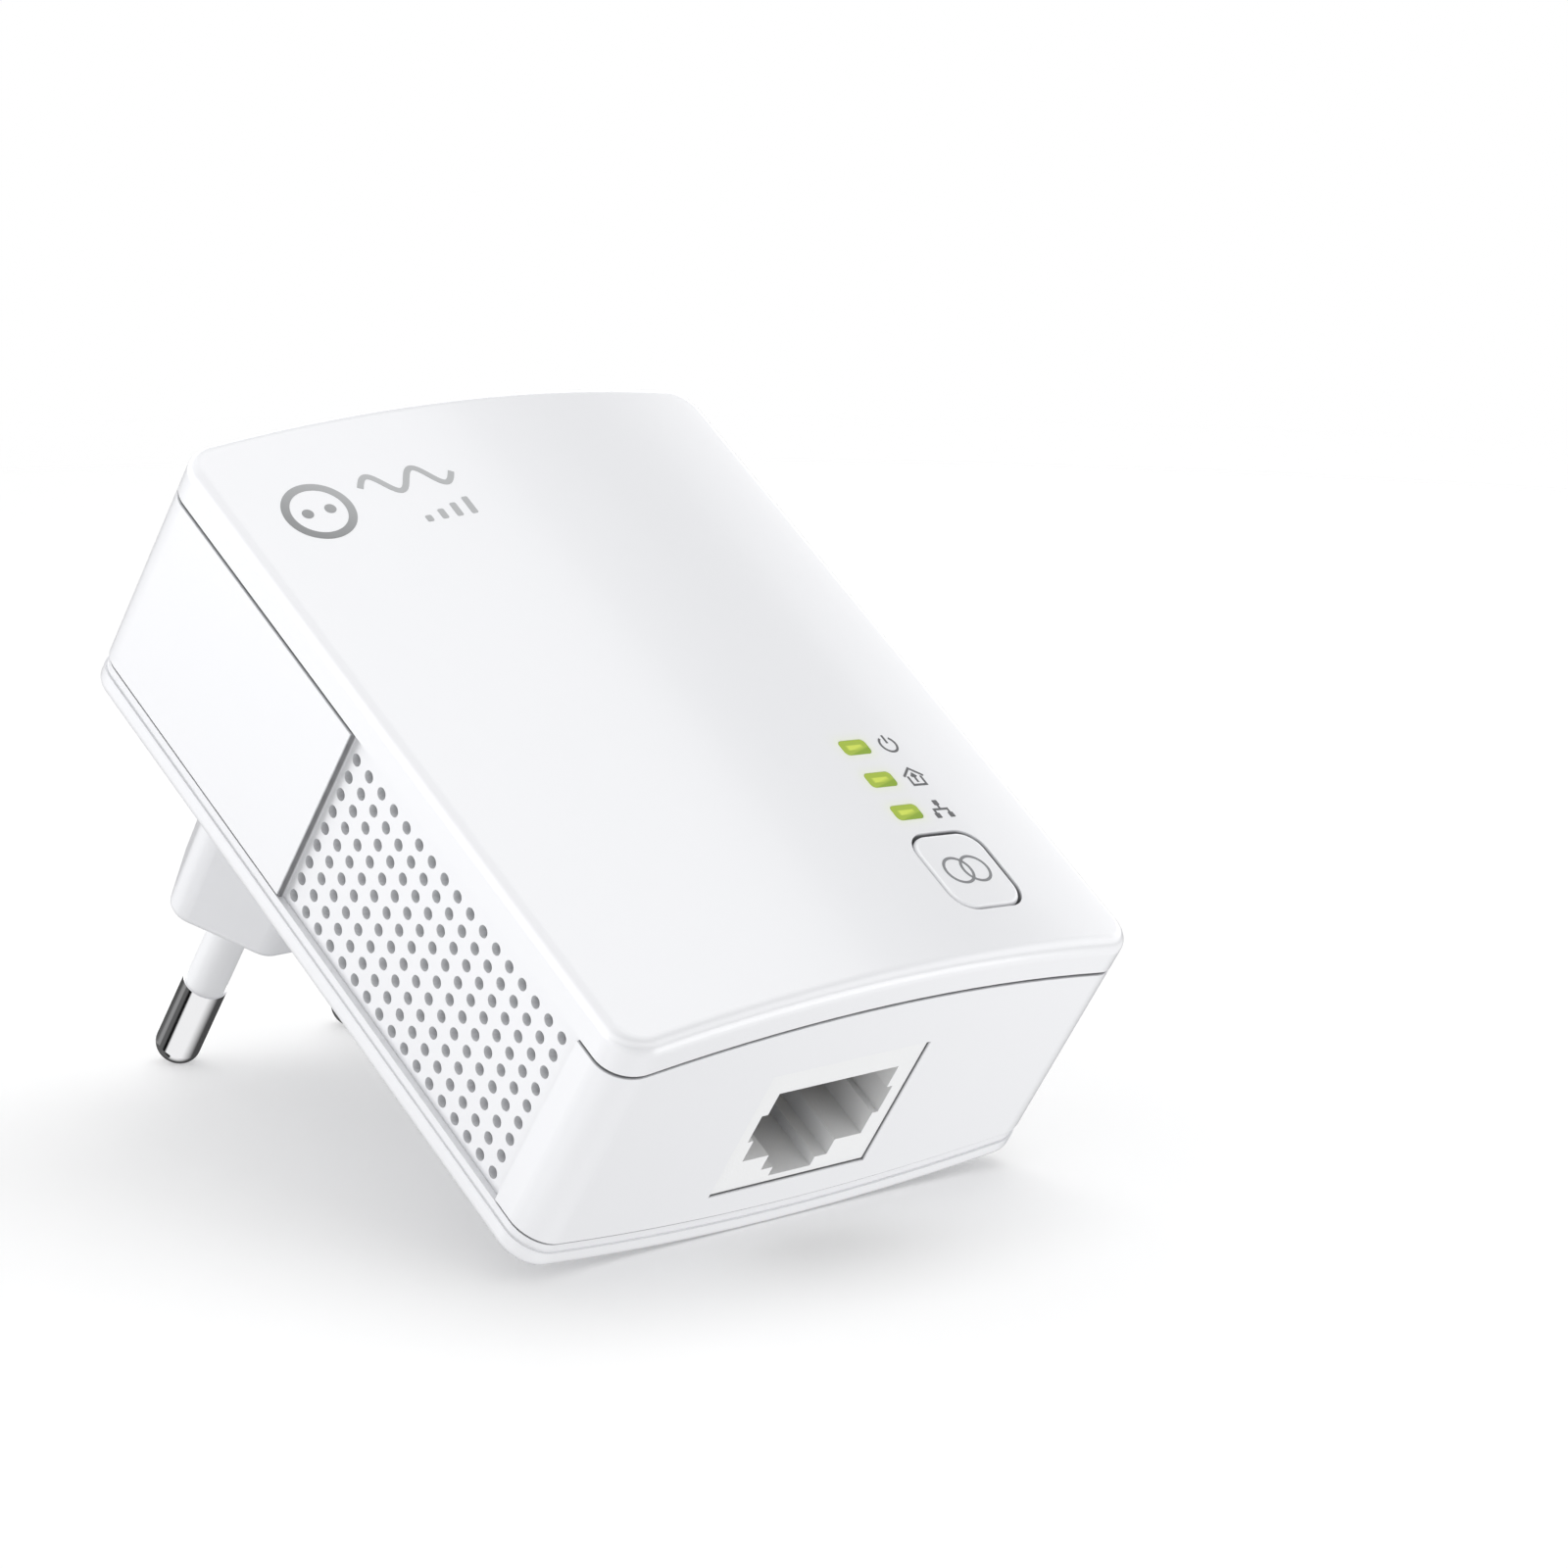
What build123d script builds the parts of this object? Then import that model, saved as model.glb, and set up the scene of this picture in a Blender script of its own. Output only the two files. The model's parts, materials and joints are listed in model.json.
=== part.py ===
"""Plug-in powerline network adapter: bowed shell, plug nose with two round pins, jack, boards and button.

Millimetres. +X right, +Y towards the plug, +Z up. It stands on its jack end. The origin is on that end,
under the middle of the overall box.
"""

import os
from math import sqrt

from build123d import *

# ---- Shell -----------------------------------------------------------------------------------------
width = 53.0
height = 68.0
side_depth = 24.1  # front edge to back edge, along a side
front_bulge = 2.5  # how far the front face bows out at its middle
back_bulge = 2.0
front_skirt = 3.2  # depth of the front cover at its sides
back_skirt = 2.6
wall = 1.8
corner_radius = 3.0  # corners of the outline, seen from the front
front_edge_round = 1.2
back_edge_round = 0.9
seam_groove = 0.35
lip_inset = 0.2  # the back cover is drawn in by this next to its seam
lip_depth = 0.8
tongue_thickness = 0.8
tongue_height = 1.0
tongue_clearance = 0.12
tongue_end_clearance = 0.2

# ---- Side grilles ----------------------------------------------------------------------------------
grille_recess = 0.9
grille_bottom = 5.1
grille_top = 38.5
grille_edge_to_hole = 0.93  # from the top edge and from the back seam to the nearest hole's middle
grille_pitch_up = 1.9
grille_pitch_across = 1.87
grille_columns = 9
grille_rows = 17
grille_hole = 1.05

# ---- Plug ------------------------------------------------------------------------------------------
nose_length = 18.0
nose_width = 35.3
nose_height = 13.7
nose_flat = 22.7  # width of its flat top and bottom
nose_draft = 0.7  # how much each side grows towards the shell
nose_wall = 2.0
nose_end_wall = 4.0
nose_from_top = 11.0
nose_corner_round = 2.2
nose_end_round = 0.8
pin_diameter = 4.0
pin_length = 19.0
pin_spacing = 19.0
pin_tip_round = 1.5
pin_core_diameter = 3.2
pin_tail = 1.5  # pin core left standing inside the nose
sleeve_diameter = 3.6
sleeve_length = 10.0
strip_width = 2.6
strip_thickness = 0.6

# ---- Boards ----------------------------------------------------------------------------------------
board_thickness = 1.6
board_width = 45.0
main_board_front = 5.2  # behind the front edge
main_board_bottom = 2.4
main_board_height = 47.0
power_board_front = 18.9
power_board_lift = 3.3  # above the jack
power_board_top_gap = 1.7
power_board_screw_zone = 5.5  # kept free of tall parts at its top
screw_diameter = 2.0
screw_length = 5.0
screw_head_diameter = 3.8
screw_head_height = 1.3
boss_diameter = 4.6
screw_side_inset = 3.2  # screw centre from a board's edge
screw_end_inset = 3.4
main_screw_height = 43.0

# ---- Parts on the boards, as (across, size across, size up, depth, corner) ---------------------------
bridge = (-13.9, 6.2, 4.8, 2.4, 0.0)
safety = (3.0, 13.0, 6.0, 7.5, 0.6)
fuse = (-15.0, 4.0, 8.5, 8.0, 0.8)
output_across = -7.2
output_diameter = 6.3
output_length = 7.0
varistor_start = -10.5
varistor_diameter = 9.2
varistor_thickness = 3.4
varistor_lift = 5.2  # its middle from the board
varistor_foot = 0.6  # width of its foot as a share of its diameter
bulk_start = -19.3
bulk_diameter = 10.0
bulk_length = 15.0
can_round = 0.6
choke_across = 16.2
choke_outer = 9.0
choke_inner = 4.8
choke_tall = 4.4
winding_thickness = 0.7
winding_gap = 2.4  # between the two windings of the choke
core_across = 9.4
core_width = 15.0
core_tall = 13.0
core_deep = 10.5
core_leg = 3.0
core_lift = 0.6  # from the power board
winding_clearance = 0.15
winding_short = 1.0  # how much shorter the coil is than its core
winding_corner = 1.2

# on the main board the row comes second: (across, up, size across, size up, depth, corner)
main_board_parts = {
    "network_transformer": (15.6, 10.4, 9.4, 12.8, 3.2, 0.3),
    "coupling_transformer": (-16.0, 12.0, 9.0, 6.6, 6.0, 0.6),
    "memory_chip": (-11.5, 24.8, 8.0, 6.0, 0.9, 0.0),
    "crystal": (12.0, 21.6, 3.2, 2.5, 0.7, 0.3),
}
chip_across = 1.5
chip_up = 26.5
chip_size = 11.0
chip_thickness = 0.9
pad_size = 9.0
pad_thickness = 0.5
sink_width = 11.4
sink_base = 1.0
sink_deep = 3.0
sink_fins = 5
fin_thickness = 0.9
header_pins = 5
header_pitch = 2.54
header_width = 2.5
header_up = 34.0

# ---- Jack ------------------------------------------------------------------------------------------
jack_width = 16.0
jack_depth = 13.5
jack_length = 16.5
jack_across = -0.9  # its middle from the centre line
jack_set_back = 0.2
jack_clearance = 0.15
jack_cavity_length = 13.0
jack_opening_width = 12.4
jack_opening_depth = 7.75
jack_front_margin = 2.4  # front of the jack to the front of its opening
jack_key_width = 13.6  # across the two keyways in the sides of the opening
jack_key_depth = 3.0
jack_key_start = 2.4  # front of the opening to the keyways
latch_step_width = 6.9
latch_step_depth = 1.7
latch_slot_width = 4.4
latch_slot_depth = 1.0
contact_count = 8
contact_pitch = 1.02
contact_width = 0.46
contact_thickness = 0.3
contact_rise = 2.4
contact_start = 3.0
contact_end = 10.5

# ---- Lights and button -----------------------------------------------------------------------------
light_across = 12.2
light_heights = {"power": 23.6, "home": 19.85, "network": 16.1}
lens_width = 2.9
lens_height = 1.6
lens_corner = 0.45
lens_clearance = 0.04
lens_flange = 0.5
lens_to_led = 0.25
led_width = 1.6
led_height = 0.8
led_depth = 0.6
shield_wall = 0.8
shield_clearance = 0.1
button_across = 13.7
button_up = 9.4
button_width = 7.5
button_height = 8.1
button_corner = 2.0
button_clearance = 0.25
button_edge_round = 0.35
button_flange = 0.6  # how far the flange reaches past the cap
button_flange_thickness = 0.8
button_flange_gap = 0.15
button_travel = 0.5
switch_size = 6.0
switch_depth = 2.6
plunger_diameter = 3.4
plunger_clearance = 0.1
plunger_hold = 0.6  # how much of the plunger is inside the switch at rest

half = width / 2
far = height  # long enough to cut right through
side_spare = 1.0  # how far a bowed cut runs past the sides
hidden_bulge = 1.0  # of the inner ends of the tongues
least_corner = 0.4
board_corner = 1.0
part_corner = 0.4
overall_depth = front_bulge + side_depth + back_bulge + nose_length + pin_length
front_edge = front_bulge - overall_depth / 2
back_seam = side_depth - back_skirt
shell_back = side_depth + back_bulge
nose_end = shell_back + nose_length
nose_middle = height - nose_from_top
main_board_back = main_board_front + board_thickness
power_board_back = power_board_front + board_thickness
power_board_bottom = jack_set_back + jack_length + power_board_lift
power_board_top = height - wall - power_board_top_gap
power_board_height = power_board_top - power_board_bottom


def behind(distance):
    """Y of a point that lies this far behind the front edge."""
    return front_edge + distance


def bow(across, bulge):
    """How far a bowed face stands out from its side edges, at a distance from the centre line."""
    radius = (half**2 + bulge**2) / (2 * bulge)
    return sqrt(radius**2 - across**2) - (radius - bulge)


def bowed_section(reach, front, front_rise, back, back_rise):
    """Plan shape between two bowed faces. A rise above zero bows towards the back, below zero forwards."""

    def edge(distance, rise):
        sign = 1 if rise > 0 else -1
        side = behind(distance) + sign * bow(reach, abs(rise))
        return (-reach, side), (0, behind(distance) + rise), (reach, side)

    front_points, back_points = edge(front, front_rise), edge(back, back_rise)
    with BuildSketch(Plane.XY) as section:
        with BuildLine():
            ThreePointArc(*front_points)
            Line(front_points[2], back_points[2])
            ThreePointArc(*reversed(back_points))
            Line(back_points[0], front_points[0])
        make_face()
    return section.sketch


def bowed_block(inset, front, front_rise, back, back_rise):
    """Block with the shell's outline, drawn in by an inset, between two bowed faces."""
    with BuildPart() as block:
        extrude(bowed_section(half + side_spare, front, front_rise, back, back_rise), amount=height)
        with BuildSketch(Plane.XZ.offset(-behind(back + far))):
            with Locations((0, height / 2)):
                RectangleRounded(
                    width - 2 * inset, height - 2 * inset, max(corner_radius - inset, least_corner)
                )
        extrude(amount=back - front + 2 * far, mode=Mode.INTERSECT)
    return block.part


def upright(distance, across=0.0, up=0.0):
    """Plane that faces the front, this far behind the front edge. Its own axes are +X and +Z."""
    return Plane(origin=(across, behind(distance), up), x_dir=(1, 0, 0), z_dir=(0, -1, 0))


def front_at(across):
    """Distance of the front face behind the front edge, so below zero."""
    return -bow(across, front_bulge)


def back_at(across):
    """Distance of the back face behind the front edge."""
    return side_depth + bow(across, back_bulge)


def slab(across, up, size_across, size_up, front, back, round_corner=0.0):
    """Block given by its middle, its size seen from the front and the depths of its two faces."""
    with BuildPart() as block:
        with BuildSketch(upright(back, across, up)):
            if round_corner:
                RectangleRounded(size_across, size_up, round_corner)
            else:
                Rectangle(size_across, size_up)
        extrude(amount=back - front)
    return block.part


def rod(across, up, diameter, front, back):
    """Round bar that runs from front to back."""
    with BuildPart() as bar:
        with BuildSketch(upright(back, across, up)):
            Circle(diameter / 2)
        extrude(amount=back - front)
    return bar.part


def save(part, name):
    part.label = name
    export_step(part, f"parts/{name}.step")


os.makedirs("parts", exist_ok=True)

main_screw_places = [(side * (board_width / 2 - screw_side_inset), main_screw_height) for side in (-1, 1)]
power_screw_places = [
    (side * (board_width / 2 - screw_side_inset), power_board_top - screw_end_inset) for side in (-1, 1)
]
pin_places = {"left": -pin_spacing / 2, "right": pin_spacing / 2}
flange_front = front_at(button_across + button_width / 2 + button_flange) + wall + button_flange_gap
flange_back = flange_front + button_flange_thickness
switch_front = main_board_front - switch_depth

# ---- Front cover -----------------------------------------------------------------------------------
with BuildPart() as front_cover:
    add(bowed_block(0, 0, -front_bulge, front_skirt, -front_bulge))
    fillet(front_cover.faces().sort_by(Axis.Y)[0].edges(), front_edge_round)
    add(bowed_block(wall, wall, -front_bulge, far, front_bulge), mode=Mode.SUBTRACT)
    # rebate for the tongue of the housing
    add(
        bowed_block(
            wall - tongue_thickness - tongue_clearance,
            front_skirt - tongue_height - tongue_end_clearance,
            -front_bulge,
            far,
            front_bulge,
        ),
        mode=Mode.SUBTRACT,
    )
    for across, up in main_screw_places:
        add(rod(across, up, boss_diameter, front_at(across) + wall / 2, main_board_front))
        add(
            rod(across, up, screw_diameter, main_board_back - screw_length, main_board_front),
            mode=Mode.SUBTRACT,
        )
    for up in light_heights.values():
        add(
            slab(
                light_across,
                up,
                lens_width + 2 * lens_clearance,
                lens_height + 2 * lens_clearance,
                -far,
                main_board_front,
                lens_corner + lens_clearance,
            ),
            mode=Mode.SUBTRACT,
        )
    add(
        slab(
            button_across,
            button_up,
            button_width + 2 * button_clearance,
            button_height + 2 * button_clearance,
            -far,
            main_board_front,
            button_corner + button_clearance,
        ),
        mode=Mode.SUBTRACT,
    )
save(front_cover.part, "front_cover")

# ---- Main housing ----------------------------------------------------------------------------------
jack_middle = main_board_back + jack_depth / 2
with BuildPart() as main_housing:
    add(bowed_block(0, front_skirt, -front_bulge, back_seam, back_bulge))
    for start, start_rise, end, end_rise in (
        (front_skirt, -front_bulge, front_skirt + seam_groove, -front_bulge),
        (back_seam - seam_groove, back_bulge, back_seam, back_bulge),
    ):
        groove = bowed_block(0, start, start_rise, end, end_rise)
        kept = bowed_block(seam_groove, start, start_rise, end, end_rise)
        add(groove - kept, mode=Mode.SUBTRACT)
    tongue = wall - tongue_thickness
    add(bowed_block(tongue, front_skirt - tongue_height, -front_bulge, front_skirt + wall, hidden_bulge))
    add(bowed_block(tongue, back_seam - wall, hidden_bulge, back_seam + tongue_height, back_bulge))
    add(bowed_block(wall, -far, -front_bulge, 2 * far, back_bulge), mode=Mode.SUBTRACT)
    # recesses for the grilles, one in each side
    with BuildSketch(Plane.XZ.offset(-behind(back_seam + far))):
        for side in (-1, 1):
            with Locations((side * half, (grille_bottom + grille_top) / 2)):
                Rectangle(2 * grille_recess, grille_top - grille_bottom)
    extrude(amount=3 * far, mode=Mode.SUBTRACT)
    # round vents through both sides
    vent_middle = back_seam - grille_edge_to_hole - (grille_columns - 1) * grille_pitch_across / 2
    vent_up = grille_top - grille_edge_to_hole - (grille_rows - 1) * grille_pitch_up / 2
    with BuildSketch(Plane.YZ.offset(-half - 1)):
        with Locations((behind(vent_middle), vent_up)):
            with GridLocations(grille_pitch_across, grille_pitch_up, grille_columns, grille_rows):
                Circle(grille_hole / 2)
    extrude(amount=width + 2, mode=Mode.SUBTRACT)
    # way for the jack
    with BuildSketch(Plane.XY.offset(-1)):
        with Locations((jack_across, behind(jack_middle))):
            Rectangle(jack_width + 2 * jack_clearance, jack_depth + 2 * jack_clearance)
    extrude(amount=wall + 2, mode=Mode.SUBTRACT)
save(main_housing.part, "main_housing")

# ---- Back cover with its plug nose -----------------------------------------------------------------


def nose_section(distance, grow):
    """Six-sided section of the plug nose, with rounded corners. Grow is added on every side."""
    across, up, flat = nose_width / 2 + grow, nose_height / 2 + grow, nose_flat / 2 + grow / 2
    with BuildSketch(upright(distance, 0, nose_middle)) as section:
        with BuildLine():
            Polyline(
                (-across, 0), (-flat, up), (flat, up), (across, 0), (flat, -up), (-flat, -up), close=True
            )
        make_face()
        fillet(section.vertices(), max(nose_corner_round + min(grow, 0), least_corner))
    return section.sketch


nose_root = side_depth - wall + bow(nose_width / 2, back_bulge) / 2
with BuildPart() as back_cover:
    add(bowed_block(0, back_seam, back_bulge, side_depth, back_bulge))
    fillet(back_cover.faces().sort_by(Axis.Y)[-1].edges(), back_edge_round)
    lip = bowed_block(0, back_seam, back_bulge, back_seam + lip_depth, back_bulge)
    lip -= bowed_block(lip_inset, back_seam - 1, back_bulge, back_seam + lip_depth + 1, back_bulge)
    add(lip, mode=Mode.SUBTRACT)
    loft([nose_section(nose_root, nose_draft), nose_section(nose_end, 0)])
    fillet(back_cover.faces().sort_by(Axis.Y)[-1].edges(), nose_end_round)
    add(bowed_block(wall, -far, -front_bulge, side_depth - wall, back_bulge), mode=Mode.SUBTRACT)
    loft(
        [
            nose_section(nose_root - wall, nose_draft - nose_wall),
            nose_section(nose_end - nose_end_wall, -nose_wall),
        ],
        mode=Mode.SUBTRACT,
    )
    # rebate for the tongue of the housing
    add(
        bowed_block(
            wall - tongue_thickness - tongue_clearance,
            -far,
            -front_bulge,
            back_seam + tongue_height + tongue_end_clearance,
            back_bulge,
        ),
        mode=Mode.SUBTRACT,
    )
    for across, up in power_screw_places:
        add(rod(across, up, boss_diameter, power_board_back, back_at(across) - wall / 2))
        add(
            rod(across, up, screw_diameter, power_board_back, power_board_front + screw_length),
            mode=Mode.SUBTRACT,
        )
    for across in pin_places.values():
        add(
            rod(across, nose_middle, sleeve_diameter, nose_end - nose_end_wall, nose_end + 1),
            mode=Mode.SUBTRACT,
        )
save(back_cover.part, "back_cover")

# ---- Plug pins, their sleeves and the strips that feed the power board -------------------------------
strip_back = nose_end - nose_end_wall - pin_tail
for side, across in pin_places.items():
    with BuildPart() as pin:
        add(rod(across, nose_middle, pin_core_diameter, strip_back, nose_end + sleeve_length))
        add(rod(across, nose_middle, pin_diameter, nose_end + sleeve_length, nose_end + pin_length))
        fillet(pin.faces().sort_by(Axis.Y)[-1].edges(), pin_tip_round)
    save(pin.part, f"plug_pin_{side}")

    with BuildPart() as sleeve:
        add(rod(across, nose_middle, sleeve_diameter, nose_end - nose_end_wall, nose_end + sleeve_length))
        add(
            rod(across, nose_middle, pin_core_diameter, nose_end - nose_end_wall, nose_end + sleeve_length),
            mode=Mode.SUBTRACT,
        )
    save(sleeve.part, f"pin_sleeve_{side}")

    with BuildPart() as strip:
        add(slab(across, nose_middle, strip_width, strip_thickness, power_board_back, strip_back))
        add(slab(across, nose_middle, strip_width, strip_width, strip_back - strip_thickness, strip_back))
    save(strip.part, f"contact_strip_{side}")

# ---- Main board, power board and their screws --------------------------------------------------------
for name, front, bottom, tall, places in (
    ("main_board", main_board_front, main_board_bottom, main_board_height, main_screw_places),
    ("power_board", power_board_front, power_board_bottom, power_board_height, power_screw_places),
):
    with BuildPart() as board:
        add(slab(0, bottom + tall / 2, board_width, tall, front, front + board_thickness, board_corner))
        for across, up in places:
            add(rod(across, up, screw_diameter, front, front + board_thickness), mode=Mode.SUBTRACT)
    save(board.part, name)

with BuildPart() as main_board_screws:
    for across, up in main_screw_places:
        add(rod(across, up, screw_diameter, main_board_back - screw_length, main_board_back))
        add(rod(across, up, screw_head_diameter, main_board_back, main_board_back + screw_head_height))
save(main_board_screws.part, "main_board_screws")

with BuildPart() as power_board_screws:
    for across, up in power_screw_places:
        add(rod(across, up, screw_diameter, power_board_front, power_board_front + screw_length))
        add(rod(across, up, screw_head_diameter, power_board_front - screw_head_height, power_board_front))
save(power_board_screws.part, "power_board_screws")

# ---- Jack and its contacts ---------------------------------------------------------------------------
opening_front = main_board_back + jack_front_margin
opening_steps = (
    (jack_opening_width, opening_front, jack_opening_depth),
    (jack_key_width, opening_front + jack_key_start, jack_key_depth),
    (latch_step_width, opening_front + jack_opening_depth, latch_step_depth),
    (latch_slot_width, opening_front + jack_opening_depth + latch_step_depth, latch_slot_depth),
)
with BuildPart() as jack_housing:
    with BuildSketch(Plane.XY.offset(jack_set_back)):
        with Locations((jack_across, behind(jack_middle))):
            Rectangle(jack_width, jack_depth)
    extrude(amount=jack_length)
    with BuildSketch(Plane.XY.offset(jack_set_back)):
        for step_width, step_front, step_depth in opening_steps:
            with Locations((jack_across, behind(step_front + step_depth / 2))):
                Rectangle(step_width, step_depth)
    extrude(amount=jack_cavity_length, mode=Mode.SUBTRACT)
save(jack_housing.part, "jack_housing")

with BuildPart() as jack_contacts:
    for place in range(contact_count):
        across = jack_across + (place - (contact_count - 1) / 2) * contact_pitch
        with BuildSketch(Plane.YZ.offset(across - contact_width / 2)):
            with BuildLine():
                Polyline(
                    (behind(opening_front), contact_start),
                    (behind(opening_front + contact_thickness), contact_start),
                    (behind(opening_front + contact_rise), contact_end - contact_thickness),
                    (behind(opening_front + contact_rise), contact_end),
                    (behind(opening_front), contact_start + 2 * contact_thickness),
                    close=True,
                )
            make_face()
        extrude(amount=contact_width)
save(jack_contacts.part, "jack_contacts")

# ---- Lenses, lights and the shield that keeps them apart ----------------------------------------------
shield_front = front_at(light_across + lens_width / 2 + shield_wall) + wall + shield_clearance
lens_back = main_board_front - led_depth - lens_to_led
for name, up in light_heights.items():
    with BuildPart() as lens:
        face_to_light = bowed_section(half, 0, -front_bulge, lens_back, front_bulge)
        add(slab(light_across, up, lens_width, lens_height, -far, lens_back, lens_corner))
        add(extrude(face_to_light, amount=height, mode=Mode.PRIVATE), mode=Mode.INTERSECT)
        add(
            slab(
                light_across,
                up,
                lens_width,
                lens_height,
                lens_back - lens_flange,
                lens_back,
                lens_corner,
            )
        )
    save(lens.part, f"{name}_lens")

    save(
        slab(light_across, up, led_width, led_height, main_board_front - led_depth, main_board_front),
        f"{name}_led",
    )

light_middle = (min(light_heights.values()) + max(light_heights.values())) / 2
light_span = max(light_heights.values()) - min(light_heights.values())
with BuildPart() as light_shield:
    add(
        slab(
            light_across,
            light_middle,
            lens_width + 2 * shield_wall,
            light_span + lens_height + 2 * shield_wall,
            shield_front,
            main_board_front,
            lens_corner,
        )
    )
    for up in light_heights.values():
        add(
            slab(
                light_across,
                up,
                lens_width + 2 * shield_clearance,
                lens_height + 2 * shield_clearance,
                -far,
                main_board_front,
                lens_corner,
            ),
            mode=Mode.SUBTRACT,
        )
save(light_shield.part, "light_shield")

# ---- Button and the switch it presses ----------------------------------------------------------------
plunger_front = flange_back
with BuildPart() as pair_button:
    add(slab(button_across, button_up, button_width, button_height, -far, flange_back, button_corner))
    add(
        extrude(
            bowed_section(half, 0, -front_bulge, far, front_bulge), amount=height, mode=Mode.PRIVATE
        ),
        mode=Mode.INTERSECT,
    )
    fillet(pair_button.faces().sort_by(Axis.Y)[0].edges(), button_edge_round)
    add(
        slab(
            button_across,
            button_up,
            button_width + 2 * button_flange,
            button_height + 2 * button_flange,
            flange_front,
            flange_back,
            button_corner + button_flange,
        )
    )
save(pair_button.part, "pair_button")

plunger_back = switch_front + plunger_hold
with BuildPart() as switch_body:
    add(slab(button_across, button_up, switch_size, switch_size, switch_front, main_board_front, part_corner))
    add(
        rod(
            button_across,
            button_up,
            plunger_diameter + 2 * plunger_clearance,
            switch_front - 1,
            plunger_back + button_travel + plunger_clearance,
        ),
        mode=Mode.SUBTRACT,
    )
save(switch_body.part, "switch_body")
save(rod(button_across, button_up, plunger_diameter, plunger_front, plunger_back), "switch_plunger")

# ---- Parts on the power board, which stand forwards from it ------------------------------------------


def rows(*sizes):
    """Middles of rows of parts, spread up the power board with equal gaps between them."""
    gap = (power_board_height - power_board_screw_zone - sum(sizes)) / (len(sizes) + 1)
    middles, start = [], power_board_bottom + gap
    for size in sizes:
        middles.append(start + size / 2)
        start += size + gap
    return middles


def on_power_board(row, across, size_across, size_up, deep, round_corner):
    """Block that stands on the front of the power board, in a row."""
    front = power_board_front - deep
    return slab(across, row, size_across, size_up, front, power_board_front, round_corner)


supply_row, bulk_row, input_row = rows(output_diameter, bulk_diameter, varistor_diameter)
save(on_power_board(supply_row, *bridge), "bridge_rectifier")
save(on_power_board(supply_row, *safety), "safety_capacitor")
save(on_power_board(input_row, *fuse), "fuse")
save(
    rod(
        output_across, supply_row, output_diameter, power_board_front - output_length, power_board_front
    ),
    "output_capacitor",
)

with BuildPart() as varistor:
    with BuildSketch(Plane.YZ.offset(varistor_start)):
        with Locations((behind(power_board_front - varistor_lift), input_row)):
            Circle(varistor_diameter / 2)
            with Locations((varistor_lift / 2, 0)):
                Rectangle(varistor_lift, varistor_foot * varistor_diameter)
    extrude(amount=varistor_thickness)
    split(bisect_by=Plane.XZ.offset(-behind(power_board_front)), keep=Keep.TOP)
save(varistor.part, "varistor")

with BuildPart() as bulk_capacitor:
    with BuildSketch(Plane.YZ.offset(bulk_start)):
        with Locations((behind(power_board_front - bulk_diameter / 2), bulk_row)):
            Circle(bulk_diameter / 2)
    extrude(amount=bulk_length)
    fillet(bulk_capacitor.edges().filter_by(GeomType.CIRCLE), can_round)
save(bulk_capacitor.part, "bulk_capacitor")

winding_outer = choke_outer + 2 * winding_thickness
winding_inner = choke_inner - 2 * winding_thickness
choke_row, transformer_row = rows(winding_outer, core_tall)
choke_middle = (choke_across, choke_row)
choke_back = power_board_front - winding_thickness
choke_front = choke_back - choke_tall

with BuildPart() as choke_core:
    add(rod(*choke_middle, choke_outer, choke_front, choke_back))
    add(rod(*choke_middle, choke_inner, choke_front, choke_back), mode=Mode.SUBTRACT)
save(choke_core.part, "choke_core")

with BuildPart() as choke_windings:
    add(rod(*choke_middle, winding_outer, choke_front - winding_thickness, power_board_front))
    add(
        rod(*choke_middle, winding_inner, choke_front - winding_thickness, power_board_front),
        mode=Mode.SUBTRACT,
    )
    # a gap across the ring keeps the two windings apart
    add(
        slab(*choke_middle, winding_gap, 2 * winding_outer, main_board_back, power_board_front),
        mode=Mode.SUBTRACT,
    )
    add(choke_core.part, mode=Mode.SUBTRACT)
save(choke_windings.part, "choke_windings")

core_back = power_board_front - core_lift
core_front = core_back - core_deep
window_width = core_width - 2 * core_leg
with BuildPart() as transformer_core:
    add(slab(core_across, transformer_row, core_width, core_tall, core_front, core_back))
    add(
        slab(
            core_across,
            transformer_row,
            window_width,
            2 * core_tall,
            core_front + core_leg,
            power_board_front,
        ),
        mode=Mode.SUBTRACT,
    )
save(transformer_core.part, "transformer_core")
save(
    slab(
        core_across,
        transformer_row,
        window_width - 2 * winding_clearance,
        core_tall - winding_short,
        core_front + core_leg + winding_clearance,
        power_board_front,
        winding_corner,
    ),
    "transformer_winding",
)

# ---- Parts on the back of the main board --------------------------------------------------------------


def on_main_board(across, up, size_across, size_up, deep, round_corner=0.0):
    """Block that stands on the back of the main board."""
    return slab(across, up, size_across, size_up, main_board_back, main_board_back + deep, round_corner)


for name, place_and_size in main_board_parts.items():
    save(on_main_board(*place_and_size), name)
save(on_main_board(chip_across, chip_up, chip_size, chip_size, chip_thickness), "main_chip")

pad_front = main_board_back + chip_thickness
sink_front = pad_front + pad_thickness
save(slab(chip_across, chip_up, pad_size, pad_size, pad_front, sink_front), "thermal_pad")

fin_pitch = (sink_width - fin_thickness) / (sink_fins - 1)
with BuildPart() as heatsink:
    add(slab(chip_across, chip_up, sink_width, sink_width, sink_front, sink_front + sink_base))
    for fin in range(sink_fins):
        across = chip_across + (fin - (sink_fins - 1) / 2) * fin_pitch
        add(slab(across, chip_up, fin_thickness, sink_width, sink_front, sink_front + sink_deep))
save(heatsink.part, "heatsink")

# ---- Header that joins the two boards -----------------------------------------------------------------
header_across = header_width / 2 - board_width / 2
save(
    slab(
        header_across,
        header_up,
        header_width,
        header_pins * header_pitch,
        main_board_back,
        power_board_front,
    ),
    "board_header",
)
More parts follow.
